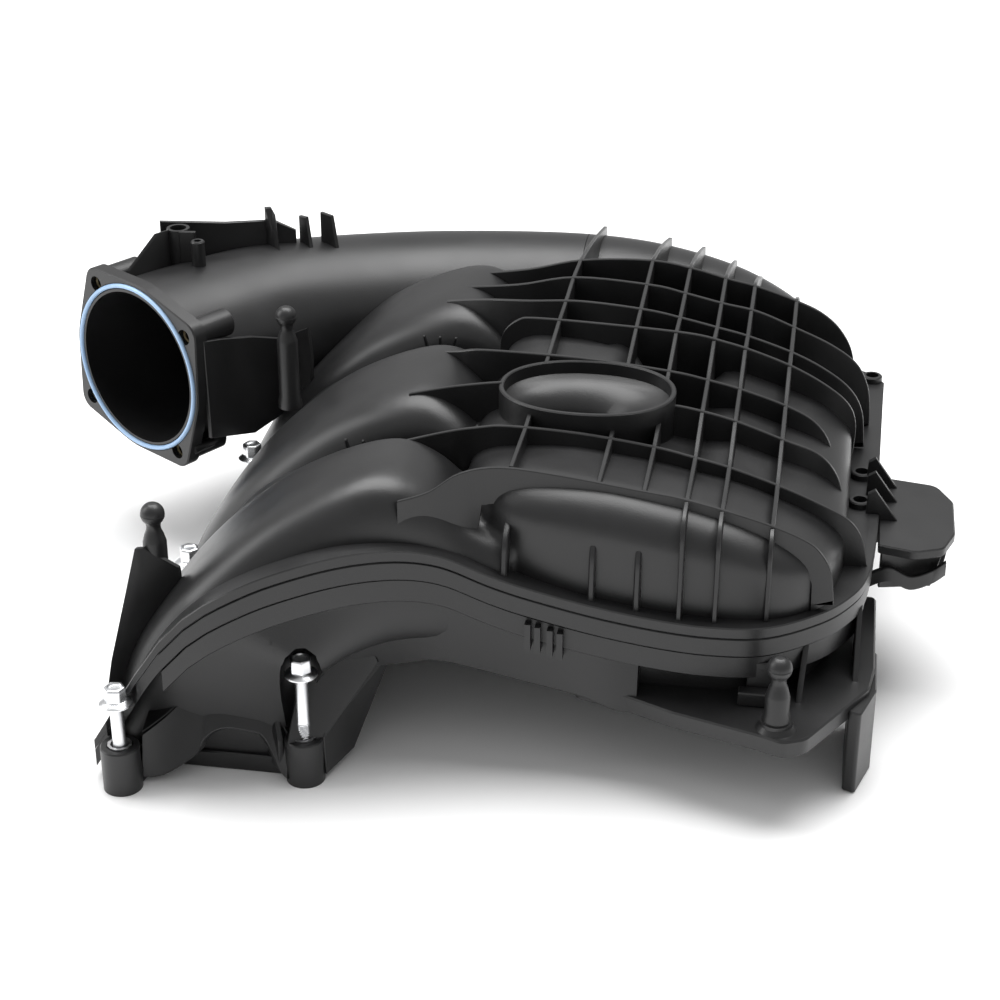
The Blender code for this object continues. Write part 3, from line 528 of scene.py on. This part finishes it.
def cross_rib(bm, route, number):
    top = smooth_line(route, 5)
    low = top.copy()
    for i, (x, y, z) in enumerate(top):
        deep = rim_z(x) + 2.0
        if number < 4 and x > 104:
            deep = max(deep, min(z - 6, roof_z(x, y) - 10))
        if x > 236:
            low[i] = (236 + (x - 236) * 0.2, y, max(rim_z(x) + 1.0, min(deep, z - 2)))
        else:
            low[i, 2] = min(z - 0.5, max(deep, rim_z(x) + 1.0))
    low[-1, 2] = top[-1, 2] - 0.8
    ribbon(bm, low, top, HALF_RIB, across=(0, 1, 0))


def rib_height(x, y):
    """Height of the ribs' top edges where a long rib crosses them."""
    ys, zs = [], []
    for route in CROSS_RIBS:
        line = np.array(route, float)
        ys.append(float(np.interp(x, line[:, 0], line[:, 1])))
        zs.append(float(np.interp(x, line[:, 0], line[:, 2])))
    order = np.argsort(ys)
    return float(np.interp(y, np.array(ys)[order], np.array(zs)[order]))


REAR_END = dict(zip(LONG_X, (216, 210, 206, 198, 186, 164)))
REAR_TOP = dict(zip(LONG_X, (119, 117, 114.5, 111, 107.5, 104)))


def long_rib(bm, x):
    """A rib along Y: over the front wall where it is unbroken, over the roof, and down on the duct."""
    top, low = [], []
    start = -94.5
    if x > LAST_BROKEN_X:
        wall_y = -109.0 + max(0.0, x - 196) * 0.28
        base = float(rim_z(x)) + 4.0
        edge = rib_height(x, -95)
        for t in np.linspace(0, 1, 9):
            z = base + t * (edge - BEND_R - base)
            top.append((x, wall_y - 6.0 + 2.0 * t, z))
            low.append((x, wall_y + 8, z))
        for a in np.linspace(0.15, 1.2, 7):
            top.append((x, wall_y + 8 - BEND_R * math.cos(a), edge - BEND_R + BEND_R * math.sin(a) * 0.98))
            low.append((x, wall_y + 14, edge - 14))
        start = -92.0
    for y in np.linspace(start, 113, 44):
        z = rib_height(x, y)
        top.append((x, y, z - (0.15 if y < 111 else 0)))
        low.append((x, y, roof_z(x, y) - 8 if y < 44 else rim_z(x) + 3))
    end, end_z = REAR_END[x], REAR_TOP[x]
    for t in np.linspace(0.1, 1, 10):
        y = 113 + t * (end - 113)
        z = rib_height(x, 113) * (1 - t) + end_z * t + 1.5 * math.sin(math.pi * t)
        top.append((x, y, z))
        low.append((x, y, min(z - 1, rim_z(x) + 8 + 20 * t)))
    ribbon(bm, low, top, HALF_RIB, across=(1, 0, 0))


def wall_rib(bm, x, top_drop):
    """A tapered rib on the front wall that dies out below the roof's edge."""
    base = float(rim_z(x)) + 3.0
    high = roof_z(x, -100) - top_drop
    top, low = [], []
    for t in np.linspace(0, 1, 12):
        z = base + t * (high - base)
        out = 3.6 * (1 - t) ** 0.7 + 0.4
        back = max(0.0, t - 0.62) ** 2 * 70
        top.append((x, -109.5 - out + back, z))
        low.append((x, -104 + back, z))
    ribbon(bm, low, top, 1.25, across=(1, 0, 0), top=0.6)


DISH_PLACE = (138, -22)
DISH_ROOM = (36.6, 27.6)
DISH_POWER = 2.15


def dish_ring(bm):
    """The raised ring of the dish with a small step inside it."""
    high = roof_z(*DISH_PLACE) + 9.5
    rows = ((37.6, 28.6, 112), (37.6, 28.6, high - 0.5), (37.1, 28.1, high), (35.9, 26.9, high),
            (35.5, 26.5, high - 0.4), (35.3, 26.3, high - 5.6), (33.6, 24.6, high - 6.8),
            (30.5, 22, high - 7.6), (27, 19.2, high - 9.2), (23.8, 16.8, high - 12),
            (21.6, 15, high - 16), (20.2, 13.9, high - 21), (19.4, 13.2, high - 28),
            (19, 13, high - 44), (18.6, 12.7, high - 46), (9, 6, high - 46.5), (9, 6, high - 52),
            (32, 23, 100))
    rings = []
    for a, b, z in rows:
        sink = max(0.0, high - 6 - z)
        shift = (-min(4.0, sink * 0.4), -min(3.5, sink * 0.35)) if z < high - 6 and a < 35 else (0, 0)
        centre = (DISH_PLACE[0] + shift[0], DISH_PLACE[1] + shift[1])
        ring = superellipse(centre, (a, b), DISH_POWER, 96)
        rings.append([(x, y, z) for x, y in ring])
    rings.append(rings[0])
    loft(bm, rings, caps=False)
    bmesh.ops.remove_doubles(bm, verts=bm.verts, dist=1e-4)


def dish_room(bm, low):
    """The room inside the dish's ring, where no roof or rib passes, from a given height up."""
    outline = superellipse(DISH_PLACE, DISH_ROOM, DISH_POWER, 96)
    loft(bm, [[(x, y, z) for x, y in outline] for z in (low, 150)])


ribs = bmesh.new()
grid = [form(cross_rib, route, number) for number, route in enumerate(CROSS_RIBS)]
grid += [form(long_rib, x) for x in LONG_X]
grid += [form(wall_rib, x, drop) for x, drop in ((117, 14), (152, 12), (170, 10))]
for piece in grid:
    add_mesh(ribs, boolean(piece, [("DIFFERENCE", form(dish_room, 60))]))
dish_ring(ribs)


# ---------------------------------------------------------------- shells

SHIFTS = (34.0, 0.0, 0.0)
HUMP_WALLS = (6.5, WALL, WALL)


def hollow_forms():
    forms = [form(dome, WALL + 1.5)]
    forms += [form(hump, y, s, w) for y, s, w in zip(RUNNER_Y, SHIFTS, HUMP_WALLS)]
    forms.append(form(duct, 3.7))
    return forms


def outer_skin():
    bm = bmesh.new()
    for y, s in zip(RUNNER_Y, SHIFTS):
        hump(bm, y, s, 0.0)
    dome(bm, 0.0)
    duct(bm, 0.0, cut=lambda x, i: x > 96 or i > 30)
    return softened("skin", bm, 9)


RIM_FRONT = smooth_line([
    (-52, -148), (-44, -149.5), (5, -151), (28, -147), (50, -140), (76, -127), (92, -119), (108, -116),
    (130, -116), (165, -116), (200, -116), (222, -112), (242, -97), (253, -82), (259, -66), (262, -40),
    (263.5, -8)], 5)


RIM_END_X = 266.0
RIM_REAR_Y = 151.0


def rim_slab(bm, low, high):
    """A slab that follows the weld plane between two heights above it, cut to the rim's outline."""
    rings = []
    xs = list(np.arange(-46, 240, 3.0)) + list(np.arange(240, RIM_END_X, 1.5)) + [RIM_END_X]
    for x in xs:
        if x <= 263.5:
            f = float(np.interp(x, RIM_FRONT[:, 0], RIM_FRONT[:, 1]))
        else:
            f = -8 + (x - 263.5) * 60
        r = RIM_REAR_Y if x < 250 else RIM_REAR_Y - (x - 250) ** 2 * 0.06
        z = float(rim_z(x))
        rings.append([(x, f, z + low), (x, r, z + low), (x, r, z + high), (x, f, z + high)])
    loft(bm, rings)


def rim_lip(bm, low, high, out, inner, start=-44):
    """The rim's raised or stepped edge along its outline, as a bevelled band."""
    line = RIM_FRONT[RIM_FRONT[:, 0] > start]
    ahead = np.gradient(line, axis=0)
    ahead /= np.linalg.norm(ahead, axis=1)[:, None]
    normal = np.stack([ahead[:, 1], -ahead[:, 0]], 1)
    outer = line + normal * out
    inside = line - normal * inner
    rings = []
    for (ox, oy), (ix, iy) in zip(outer, inside):
        zo, zi = float(rim_z(ox)), float(rim_z(ix))
        nx, ny = (np.array([ox, oy]) - (ix, iy)) / (out + inner)
        c = 0.5
        rings.append([(ix, iy, zi + low), (ox - nx * c, oy - ny * c, zo + low), (ox, oy, zo + low + c),
                      (ox, oy, zo + high - c), (ox - nx * c, oy - ny * c, zo + high), (ix, iy, zi + high)])
    loft(bm, rings)


def bolt_places():
    lifts = (18.5, 27, 29, 19, 28.5, 22, 20)
    places = [(f"outer_{i + 1}", -33.0, -155.0 + i * PITCH) for i in range(4)]
    places += [(f"inner_{i + 1}", 39.0, -137.0 + i * PITCH) for i in range(3)]
    return [(n, x, y, l) for (n, x, y), l in zip(places, lifts)]


DUCT_END_X = 109.9
WELD_GAP = 0.3


def right_of(x):
    return form(box, (x, -300, -10), (500, 400, 250))


def duct_room():
    """The room the separate duct takes up, with the weld gap round it."""
    return boolean(form(duct, -WELD_GAP, first=-8.0), [("DIFFERENCE", right_of(DUCT_END_X + WELD_GAP))])


POCKET_R = 11.2


def pocket_walls(skin):
    """Round walls that keep the inner bolts' access shafts apart from the runners."""
    shafts = bmesh.new()
    for name, x, y, lift in bolt_places():
        if name.startswith("inner"):
            lathe(shafts, ((POCKET_R, 4.0), (POCKET_R, 67.5)), (x, y, 0))
    return boolean(shafts, [("INTERSECT", skin)])


def bolt_cuts():
    cuts = []
    for name, x, y, lift in bolt_places():
        top = 65 if name.startswith("inner") else 130
        cuts.append(("DIFFERENCE", form(lathe, ((5.3, -20), (5.3, 24)), (x, y, 0))))
        shaft = ((8.7, 20), (8.7, top - 9), (7.6, top - 4.5), (4.6, top - 1), (0.5, top))
        cuts.append(("DIFFERENCE", form(lathe, shaft, (x, y, 0))))
    return cuts


CORNER_BOSSES = ((256.5, 28.6), (256, 0.3), (260, 138))

upper_extra = [("UNION", form(rim_slab, -1.0, 4.6))]
for x, y in CORNER_BOSSES:
    upper_extra.append(("UNION", form(lathe, ((4.9, 68), (4.9, 77.0), (4.4, 77.5)), (x, y, 0))))
for x, y in CORNER_BOSSES:
    upper_extra.append(("DIFFERENCE", form(lathe, ((3.1, 60), (3.1, 90)), (x, y, 0))))
skin = outer_skin()
lower_skin = skin.copy()
shafts = pocket_walls(skin.copy())
lower_shafts = shafts.copy()
upper = boolean(skin, upper_extra
                + [("DIFFERENCE", form(dish_room, 101)), ("DIFFERENCE", form(split, False))]
                + [("DIFFERENCE", f) for f in hollow_forms()] + [("DIFFERENCE", duct_room())]
                + [("UNION", boolean(shafts, [("DIFFERENCE", form(split, False))]))] + bolt_cuts())
finish_mesh("upper_shell_skin", upper, NYLON, 30, replaces=("upper_shell",))
rim_lip(ribs, 0.15, 5.0, 1.0, 3.0)
finish_mesh("roof_ribs_and_dish", ribs, NYLON, 30)


# ---------------------------------------------------------------- lower shell

def port_outline(x, y, grow):
    w, h = 14 + grow, 24 + grow
    return rounded([(x - w, y - h), (x + w, y - h), (x + w, y + h), (x - w, y + h)], 10 + grow, 6)


def flange_forms():
    """The port flange: a frame under each runner, scalloped between the bolt bosses."""
    forms = []
    for y in RUNNER_Y:
        pts = []
        for px in (-40, 41):
            for py in (-27.5, 27.5):
                pts += [tuple(p) for p in circle((px, y + py), 6, 24)]
        forms.append(form(prism, hull(pts), 0.0, 8.0, 0.6))
    forms.append(form(prism, rounded([(-38, -120), (38, -120), (38, 120), (-38, 120)], 4), 0.0, 7.6, 0.5))
    for name, x, y, lift in bolt_places():
        forms.append(form(lathe, ((8.0, 0), (8.0, 19.4), (7.5, 20)), (x, y, 0)))
        near = min(RUNNER_Y, key=lambda c: abs(c - y))
        pts = [tuple(p) for p in circle((x, y), 6.5, 24)]
        pts += [tuple(p) for p in circle((x * 0.85, y + (near - y) * 0.75), 9, 24)]
        forms.append(form(prism, hull(pts), 0.0, 7.0, 0.5))
    return forms


PLATE = rounded([(146, -112), (165, -117), (187, -127), (222, -138), (231, -142), (240, -138),
                 (264, -96), (266, -80), (266, -20), (150, -20)],
                [4, 30, 40, 30, 6, 8, 10, 8, 3, 3], 6)

lower_extra = [("UNION", form(rim_slab, -8.0, 1.0)), ("UNION", form(prism, PLATE, 33.5, 41.0, 0.7))]
lower_extra += [("UNION", f) for f in flange_forms()]
lower_cuts = [("DIFFERENCE", form(split, True))] + [("DIFFERENCE", f) for f in hollow_forms()]
for y in RUNNER_Y:
    for x in (-23.0, 23.0):
        lower_cuts.append(("DIFFERENCE", form(prism, port_outline(x, y, 0), -5, 12)))
        groove = bmesh.new()
        ring_in = [(a, b) for a, b in port_outline(x, y, 2.0)]
        ring_out = [(a, b) for a, b in port_outline(x, y, 5.2)]
        loft(groove, [[(a, b, -1) for a, b in ring_in], [(a, b, -1) for a, b in ring_out],
                      [(a, b, 3) for a, b in ring_out], [(a, b, 3) for a, b in ring_in],
                      [(a, b, -1) for a, b in ring_in]], caps=False)
        bmesh.ops.remove_doubles(groove, verts=groove.verts, dist=1e-4)
        lower_cuts.append(("DIFFERENCE", groove))
lower_cuts.append(("DIFFERENCE", duct_room()))
lower_cuts.append(("UNION", boolean(lower_shafts, [("DIFFERENCE", form(split, True))])))
lower = boolean(lower_skin, lower_extra + lower_cuts + bolt_cuts())
finish_mesh("lower_shell_skin", lower, NYLON, 30, replaces=("lower_shell",))

trim = bmesh.new()
rim_lip(trim, -8.2, -0.15, 0.6, 3.0, start=-24)
rim_lip(trim, -19.0, -8.9, -1.2, 8.0, start=-17)
# skirt that arches between the two front bosses
low_edge = smooth_line([(-26, -150, 2), (-18, -149, 3), (-10.3, -147, 7.3), (-4, -143, 11.7),
                        (-0.4, -141, 18.1), (6.5, -139.5, 21.9), (17.1, -138.5, 20.9),
                        (22, -138.5, 18.5), (28.5, -140, 5.6), (33, -142, 2)], 6)
high_edge = smooth_line([(-26, -146, 20), (-18, -140, 25), (-10.3, -133, 31), (-4, -129, 36),
                         (0, -127, 38), (6.5, -126, 38.5), (17.1, -127, 36), (22, -129, 31),
                         (28.5, -134, 22), (33, -137, 16)], 6)
ribbon(trim, high_edge, low_edge, 1.3)
back_edge = high_edge + np.array([0.0, 12.0, 4.0])
ribbon(trim, back_edge, high_edge, 1.3)
# small upright ribs on the band
for x, y, z in ((127.5, -116.5, 67), (131.5, -116.5, 66), (136.5, -116.5, 65), (140.5, -116.5, 64)):
    box(trim, (x - 1.2, y - 1.6, z - 9), (x + 1.2, y + 6, z + 3))
# front wall of the lower shell, from the band down to the underside's edge
wall_low = smooth_line([(50, -121, 47), (58, -117, 44), (66, -113, 43), (76, -111, 44), (88, -110, 46),
                        (105, -109, 43), (123, -110, 40), (140, -112, 38), (152, -113.5, 36),
                        (163, -117, 34), (172, -118, 34)], 4)
wall_high = []
for x in wall_low[:, 0]:
    front = float(np.interp(x, RIM_FRONT[:, 0], RIM_FRONT[:, 1]))
    wall_high.append((x, front + 4.5, float(rim_z(x)) - 12))
wall_high = np.array(wall_high)
ribbon(trim, wall_high, wall_low, 1.4)
wall_back = wall_low + np.array([0.0, 16.0, 2.0])
ribbon(trim, wall_back, wall_low, 1.3)
# post and plate beside the front left stud
lathe(trim, ((7.4, 0), (6.6, 20), (6.6, 33)), (-27, -111, 38), count=40)
lathe(trim, ((8.4, 0), (6.6, 2.5), (6.6, 4)), (228, -131, 40.5), count=40)
wall_plate(trim, [(-33, -117, 90), (-30, -116, 90), (-17, -112, 80), (-16, -112, 60),
                  (-24, -114, 38), (-40, -130, 26), (-44, -136, 28), (-42, -131, 45)],
           1.2, (0.25, 0.97, 0))
# gussets round the inner front boss
wall_plate(trim, [(33, -143, 18), (46, -136, 18), (66, -116, 46), (52, -114, 78), (38, -118, 60)],
           1.1, (-0.3, 0.95, 0))
wall_plate(trim, [(30, -140, 19), (20, -118, 44), (6, -118, 40), (14, -126, 8), (30, -140, 4)],
           1.1, (0.82, 0.57, 0))
wall_plate(trim, [(47, -137, 3), (54, -118, 4), (69, -106, 46), (50, -108, 62), (46, -136, 20)],
           1.2, (0.9, -0.42, 0))
# walls that carry the corner plate
wall_plate(trim, [(236, -112, 41), (238, -96, 68), (236, -88, 68), (236, -84, 41)], 1.1, (1, 0, 0))
wall_plate(trim, [(258, -92, 41), (258, -72, 64), (258, -62, 64), (258, -60, 41)], 1.1, (1, 0, 0))
prism(trim, rounded([(215, -112), (229, -112), (229, -108), (215, -108)], 1), 41, 58, 0.5)
prism(trim, rounded([(212, -118), (232, -118), (232, -112), (212, -112)], 1), 41, 47, 0.5)
leg = rounded([(256, -110), (261, -112), (267, -92), (267, -62), (258, -62), (256, -80)], 1.5)
prism(trim, leg, 0.0, 38.0, 0.6)
prism(trim, rounded([(240, 88), (248, 88), (248, 112), (240, 112)], 1.5), 0.0, 56.0, 0.6)
finish_mesh("lower_shell_trim", trim, NYLON, 30)


# ---------------------------------------------------------------- duct and throttle flange

ANGLE = math.radians(31.5)
FACE = np.array([-90.0, 57.0, 91.0])
OUT = np.array([-math.sin(ANGLE), -math.cos(ANGLE), 0.0])
SIDE = np.array([math.cos(ANGLE), -math.sin(ANGLE), 0.0])
UP = np.array([0.0, 0.0, 1.0])
ROLL = math.radians(-10)


def face_point(a, b, depth=0.0):
    return FACE + SIDE * a + UP * b - OUT * depth


def turned(a, b):
    return (a * math.cos(ROLL) - b * math.sin(ROLL), a * math.sin(ROLL) + b * math.cos(ROLL))


HOLES = [turned(a, b) for a, b in ((-31.5, 31.5), (31.5, 31.5), (31.5, -31.5), (-31.5, -31.5))]


def flange_plate(bm, thick):
    pts = []
    for a, b in HOLES:
        pts += [tuple(p) for p in circle((a, b), 8, 32)]
    pts += [tuple(p) for p in circle((0, 0), 43.6, 96)]
    outline = hull(pts)
    inner = offset(outline, -0.6)
    loft(bm, [[face_point(a, b, d) for a, b in ring] for ring, d in
              ((inner, 0.0), (outline, 0.6), (outline, thick - 0.4), (inner, thick))])


RECESS_R = 5.8
RECESS_TOP = 49.7


def make_duct():
    bm = form(flange_plate, 7.5)
    others = [("UNION", form(duct, 0.0, first=2.0))]
    for a, b in HOLES:
        post = form(lathe, ((6.6, 0), (6.6, 24.4), (6.0, 25)), face_point(a, b, 1.5), tuple(-OUT))
        others.append(("UNION", post))
    others.append(("DIFFERENCE", right_of(DUCT_END_X)))
    others.append(("DIFFERENCE", form(duct, 3.7, first=-20.0)))
    groove = form(lathe, ((39.2, -1), (42.2, -1), (42.2, 2.6), (39.2, 2.6)), FACE, tuple(-OUT), 128, True)
    others.append(("DIFFERENCE", groove))
    for a, b in HOLES:
        hole = form(lathe, ((3.8, -3), (3.8, 18)), face_point(a, b), tuple(-OUT), 40)
        others.append(("DIFFERENCE", hole))
    # a shallow recess over the head of the bolt that stands under the duct
    recess = form(lathe, ((RECESS_R, 20), (RECESS_R, RECESS_TOP)), (-33, -155 + 3 * PITCH, 0))
    others.append(("DIFFERENCE", recess))
    finish_mesh("inlet_duct_body", boolean(bm, others), NYLON, 32, replaces=("inlet_duct",))


def duct_trim():
    """Walls, posts and tabs on the duct behind the throttle flange."""
    bm = bmesh.new()
    pipe = ((3.4, 0), (3.4, 23.4), (2.9, 24), (1.7, 24), (1.7, 18), (0.01, 18))
    lathe(bm, pipe, (-67, 93, 120), count=40)
    # upper wall behind the flange, its step and its tabs
    wall_plate(bm, [(-98, 78, 100), (-98, 78, 132), (-88, 94, 146), (-84, 100, 146),
                    (-80, 106, 116)], 1.1, (0.85, 0.53, 0))
    wall_plate(bm, [(-92, 112, 112), (-92, 112, 146), (-62, 124, 143), (-40, 134, 142),
                    (-30, 138, 136), (-30, 138, 112)], 1.1, (-0.35, 0.93, 0))
    wall_plate(bm, [(-44, 132, 120), (-44, 132, 149), (-41, 133, 149), (-38, 130, 146),
                    (-34, 122, 124)], 1.0, (-0.35, 0.93, 0))
    wall_plate(bm, [(-28, 140, 112), (-28, 140, 143), (-24, 138, 143), (-20, 132, 124)], 1.0, (0.6, 0.8, 0))
    wall_plate(bm, [(-18, 144, 112), (-18, 144, 144), (-12, 142, 143), (-8, 138, 122)], 1.0, (0.6, 0.8, 0))
    # clip with an open ring
    lathe(bm, ((5.6, 0), (5.6, 20), (4.0, 20), (4.0, 0)), (-80, 104, 126), count=40, closed=True)
    prism(bm, rounded([(-78, 98), (-70, 99), (-70, 101), (-78, 100)], 0.6), 122, 146, 0.3)
    # walls and rods behind the flange's right edge
    side_corners = ((5, 24), (16, 22), (36, 17), (58, 9), (60, -28), (34, -33), (6, -26))
    wall_plate(bm, [tuple(face_point(43.4, b, d)) for d, b in side_corners], 1.2, tuple(SIDE))
    end_corners = ((43, 10), (58, 18), (60, 2), (58, -30), (43, -28), (30, -30), (26, 10))
    wall_plate(bm, [tuple(face_point(a, b, 59.5)) for a, b in end_corners], 1.1, tuple(OUT))
    rod = ((0.01, 0), (2.6, 0), (3.0, 0.4), (3.0, 26), (2.6, 27), (0.01, 27))
    lathe(bm, rod, face_point(41, 12, 2), tuple(-OUT), 32)
    rod = ((0.01, 0), (2.2, 0), (2.4, 0.4), (2.4, 12), (0.01, 12))
    lathe(bm, rod, face_point(34, -34, 3), tuple(-OUT), 32)
    # fins between the humps
    for y, z, x0 in ((-52, 113, 47), (52, 118.5, 60)):
        for lean in (-1, 0, 1):
            wall_plate(bm, [(x0 + lean * 2.0 - 1.5, y + 1, z - 22),
                            (x0 + lean * 7.5 - 0.4, y, z + 1), (x0 + lean * 7.5 + 0.4, y, z + 1),
                            (x0 + lean * 2.0 + 1.5, y + 1, z - 22)], 0.9, (0, 1, 0))
    bm = boolean(bm, [("DIFFERENCE", form(duct, 3.5, first=-20.0))])
    finish_mesh("duct_trim", bm, NYLON, 30)


make_duct()
duct_trim()

SEAL_RADIUS = 40.75
turns = np.linspace(0, 2 * math.pi, 20)[:-1]
section = [(SEAL_RADIUS + 1.1 * math.cos(a), 0.1 + 1.25 * math.sin(a)) for a in turns]
seal = form(lathe, section, FACE, tuple(-OUT), 160, True)
finish_mesh("throttle_seal_ring", seal, BLUE, 60, replaces=("throttle_seal",))

for number, (a, b) in enumerate(HOLES, 1):
    section = ((3.45, 2.6), (3.45, 14), (2.5, 14), (2.4, 3.2), (2.9, 2.6))
    bm = form(lathe, section, face_point(a, b), tuple(-OUT), 36, True)
    finish_mesh(f"threaded_insert_{number}", bm, BRASS, 30,
                replaces=(f"throttle_insert_{number}",))


# ---------------------------------------------------------------- bolts, sleeves and studs

def bolt_mesh():
    """M6 flange bolt: threaded shank, coned flange and a hexagon with a dished top."""
    bm = bmesh.new()
    count = 72
    t = 2 * np.pi * np.arange(count) / count
    rings = []
    length, thread = 39.0, 17.0
    rings.append(np.stack([1.9 * np.cos(t), 1.9 * np.sin(t), np.full(count, -length)], 1))
    for z in np.arange(-length + 0.6, -length + thread, 0.16):
        turn = (z / 1.0 - t / (2 * np.pi)) % 1.0
        ridge = 1 - abs(turn - 0.5) * 2
        ease = min(1.0, (z + length) / 1.5, max(0.15, (-length + thread - z) / 1.5))
        r = 2.95 - 0.5 * ease * (1 - ridge) - 0.35 * max(0.0, 1 - (z + length) / 1.6)
        rings.append(np.stack([r * np.cos(t), r * np.sin(t), np.full(count, z)], 1))
    profile = [(2.68, -length + thread + 0.4), (2.68, -1.2), (2.9, -0.5), (3.4, 0.0), (6.3, 0.0),
               (6.75, 0.25), (6.75, 0.75), (6.5, 1.0), (5.6, 1.5), (4.9, 2.0)]
    for r, z in profile:
        rings.append(np.stack([r * np.cos(t), r * np.sin(t), np.full(count, z)], 1))
    sector = (t + np.pi / 6) % (np.pi / 3) - np.pi / 6
    hexagon = 4.0 / np.cos(sector)
    hexagon = np.minimum(hexagon, 4.5)
    for z, scale in ((2.2, 1.0), (7.3, 1.0), (7.8, 0.94), (8.05, 0.86)):
        r = hexagon * scale if scale > 0.9 else np.minimum(hexagon * scale, 3.75)
        rings.append(np.stack([r * np.cos(t), r * np.sin(t), np.full(count, z)], 1))
    for r, z in ((3.0, 8.1), (2.8, 7.7), (2.5, 7.4), (1.0, 7.3)):
        rings.append(np.stack([r * np.cos(t), r * np.sin(t), np.full(count, z)], 1))
    loft(bm, rings)
    return bm


for name, x, y, lift in bolt_places():
    bm = bolt_mesh()
    bmesh.ops.rotate(bm, cent=(0, 0, 0), matrix=Matrix.Rotation(0.3 + 0.7 * lift, 3, "Z"), verts=bm.verts)
    bmesh.ops.translate(bm, vec=(x, y, 20.9 + lift), verts=bm.verts)
    finish_mesh(f"flange_bolt_{name}", bm, ZINC, 40, body=f"bolt_{name}",
                replaces=(f"bolt_{name}",))

STUDS = (("front_left", (-27, -111, 103), 32), ("front_right", (228, -131, 68), 25),
         ("rear_left", (-13, 51.5, 125), 46))
for name, ball, height in STUDS:
    profile = [(0.01, -height), (5.6, -height), (5.6, -height + 3)]
    profile += [(4.9, -height + 6), (4.9, -12.5), (4.6, -11.5), (3.9, -9), (3.1, -7), (2.9, -5.4),
                (3.1, -4.4)]
    profile += [(5.0 * math.sin(a), 5.0 * math.cos(a)) for a in np.linspace(2.4, 1.62, 7)]
    profile += [(4.75, 0.15), (4.75, 0.35)]
    profile += [(5.0 * math.sin(a), 5.0 * math.cos(a)) for a in np.linspace(1.48, 0.35, 9)]
    profile += [(1.5, 4.72), (0.01, 4.75)]
    bm = form(lathe, profile, ball, (0, 0, 1), 56)
    finish_mesh(f"ball_stud_{name}", bm, NYLON, 34, replaces=(f"cover_stud_{name}",))


# ---------------------------------------------------------------- side bracket

def side_bracket():
    bm = bmesh.new()
    prism(bm, rounded([(264.5, -30), (280, -34), (292, -29), (297, -14), (297, 16), (290, 31), (264.5, 36)],
                      [1, 8, 6, 8, 8, 8, 1], 6), 67.5, 71.8, 0.6)
    wall_plate(bm, [(266, -27, 50), (288, -22, 50), (294, -12, 68), (266, -27, 68)], 1.3, (0.2, -0.98, 0))
    wall_plate(bm, [(266, 20, 50), (290, 18, 52), (295, 14, 68), (266, 24, 68)], 1.3, (0.1, 0.99, 0))
    wall_plate(bm, [(291, -16, 50.5), (292, 16, 50.5), (295, 14, 68), (294, -12, 68)], 1.3, (1, 0, 0))
    for y in (-6, 12, 26):
        wall_plate(bm, [(258, y, 62), (259, y, 84), (262, y, 86), (273, y, 71), (273, y, 67),
                        (264, y, 60)], 1.1, (0, 1, 0))
    hook = smooth_line([(262, -30, 58), (270, -31, 62), (279, -30, 58), (288, -27, 60), (294, -20, 61)], 5)
    ribbon(bm, hook + np.array([0, 0, -6.0]), hook, 1.3, across=(0.1, -1, 0))
    finish_mesh("side_bracket_plate", bm, NYLON, 30, replaces=("side_bracket",))


side_bracket()

for name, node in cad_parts.items():
    if name.startswith("sleeve_"):
        mat = STEEL
    elif name.startswith("port_seal"):
        mat = RUBBER
    elif name.startswith("runner_divider"):
        mat = INNER
    else:
        continue
    node.data.materials.clear()
    node.data.materials.append(mat)


# ---------------------------------------------------------------- stage

def soft_light(name, place, target, size, power):
    lamp = bpy.data.lights.new(name, "AREA")
    lamp.shape = "RECTANGLE"
    lamp.size = size[0]
    lamp.size_y = size[1]
    lamp.energy = power
    obj = bpy.data.objects.new(name, lamp)
    bpy.context.scene.collection.objects.link(obj)
    obj.location = place
    aim = Vector(target) - Vector(place)
    obj.rotation_euler = aim.to_track_quat("-Z", "Y").to_euler()


def set_stage():
    floor = form(lambda bm: box(bm, (-6000, -6000, -20), (6000, 6000, -0.05)))
    made, nodes, links, shader = new_material("pale floor")
    shader.inputs["Base Color"].default_value = (0.93, 0.93, 0.93, 1)
    shader.inputs["Roughness"].default_value = 0.6
    shader.inputs["Specular IOR Level"].default_value = 0.2
    finish_mesh("floor", floor, made, body=None)
    world = bpy.data.worlds.new("studio")
    bpy.context.scene.world = world
    world.use_nodes = True
    back = world.node_tree.nodes["Background"]
    back.inputs["Color"].default_value = (1, 1, 1, 1)
    back.inputs["Strength"].default_value = 0.52
    soft_light("overhead", (0.1, 0.5, 1.9), (0.1, 0.05, 0.05), (2.2, 1.4), 66)
    soft_light("left", (-1.6, -0.2, 1.0), (0.05, 0, 0.05), (0.9, 1.4), 15)
    camera = bpy.data.cameras.new("camera")
    camera.lens = 75.6
    camera.sensor_width = 36
    camera.clip_start = 0.05
    obj = bpy.data.objects.new("camera", camera)
    bpy.context.scene.collection.objects.link(obj)
    obj.location = (0.2358, -0.8307, 0.4930)
    obj.rotation_euler = (math.radians(63), 0, math.radians(9.5))
    bpy.context.scene.camera = obj
    bpy.context.scene.view_settings.view_transform = "Standard"


set_stage()
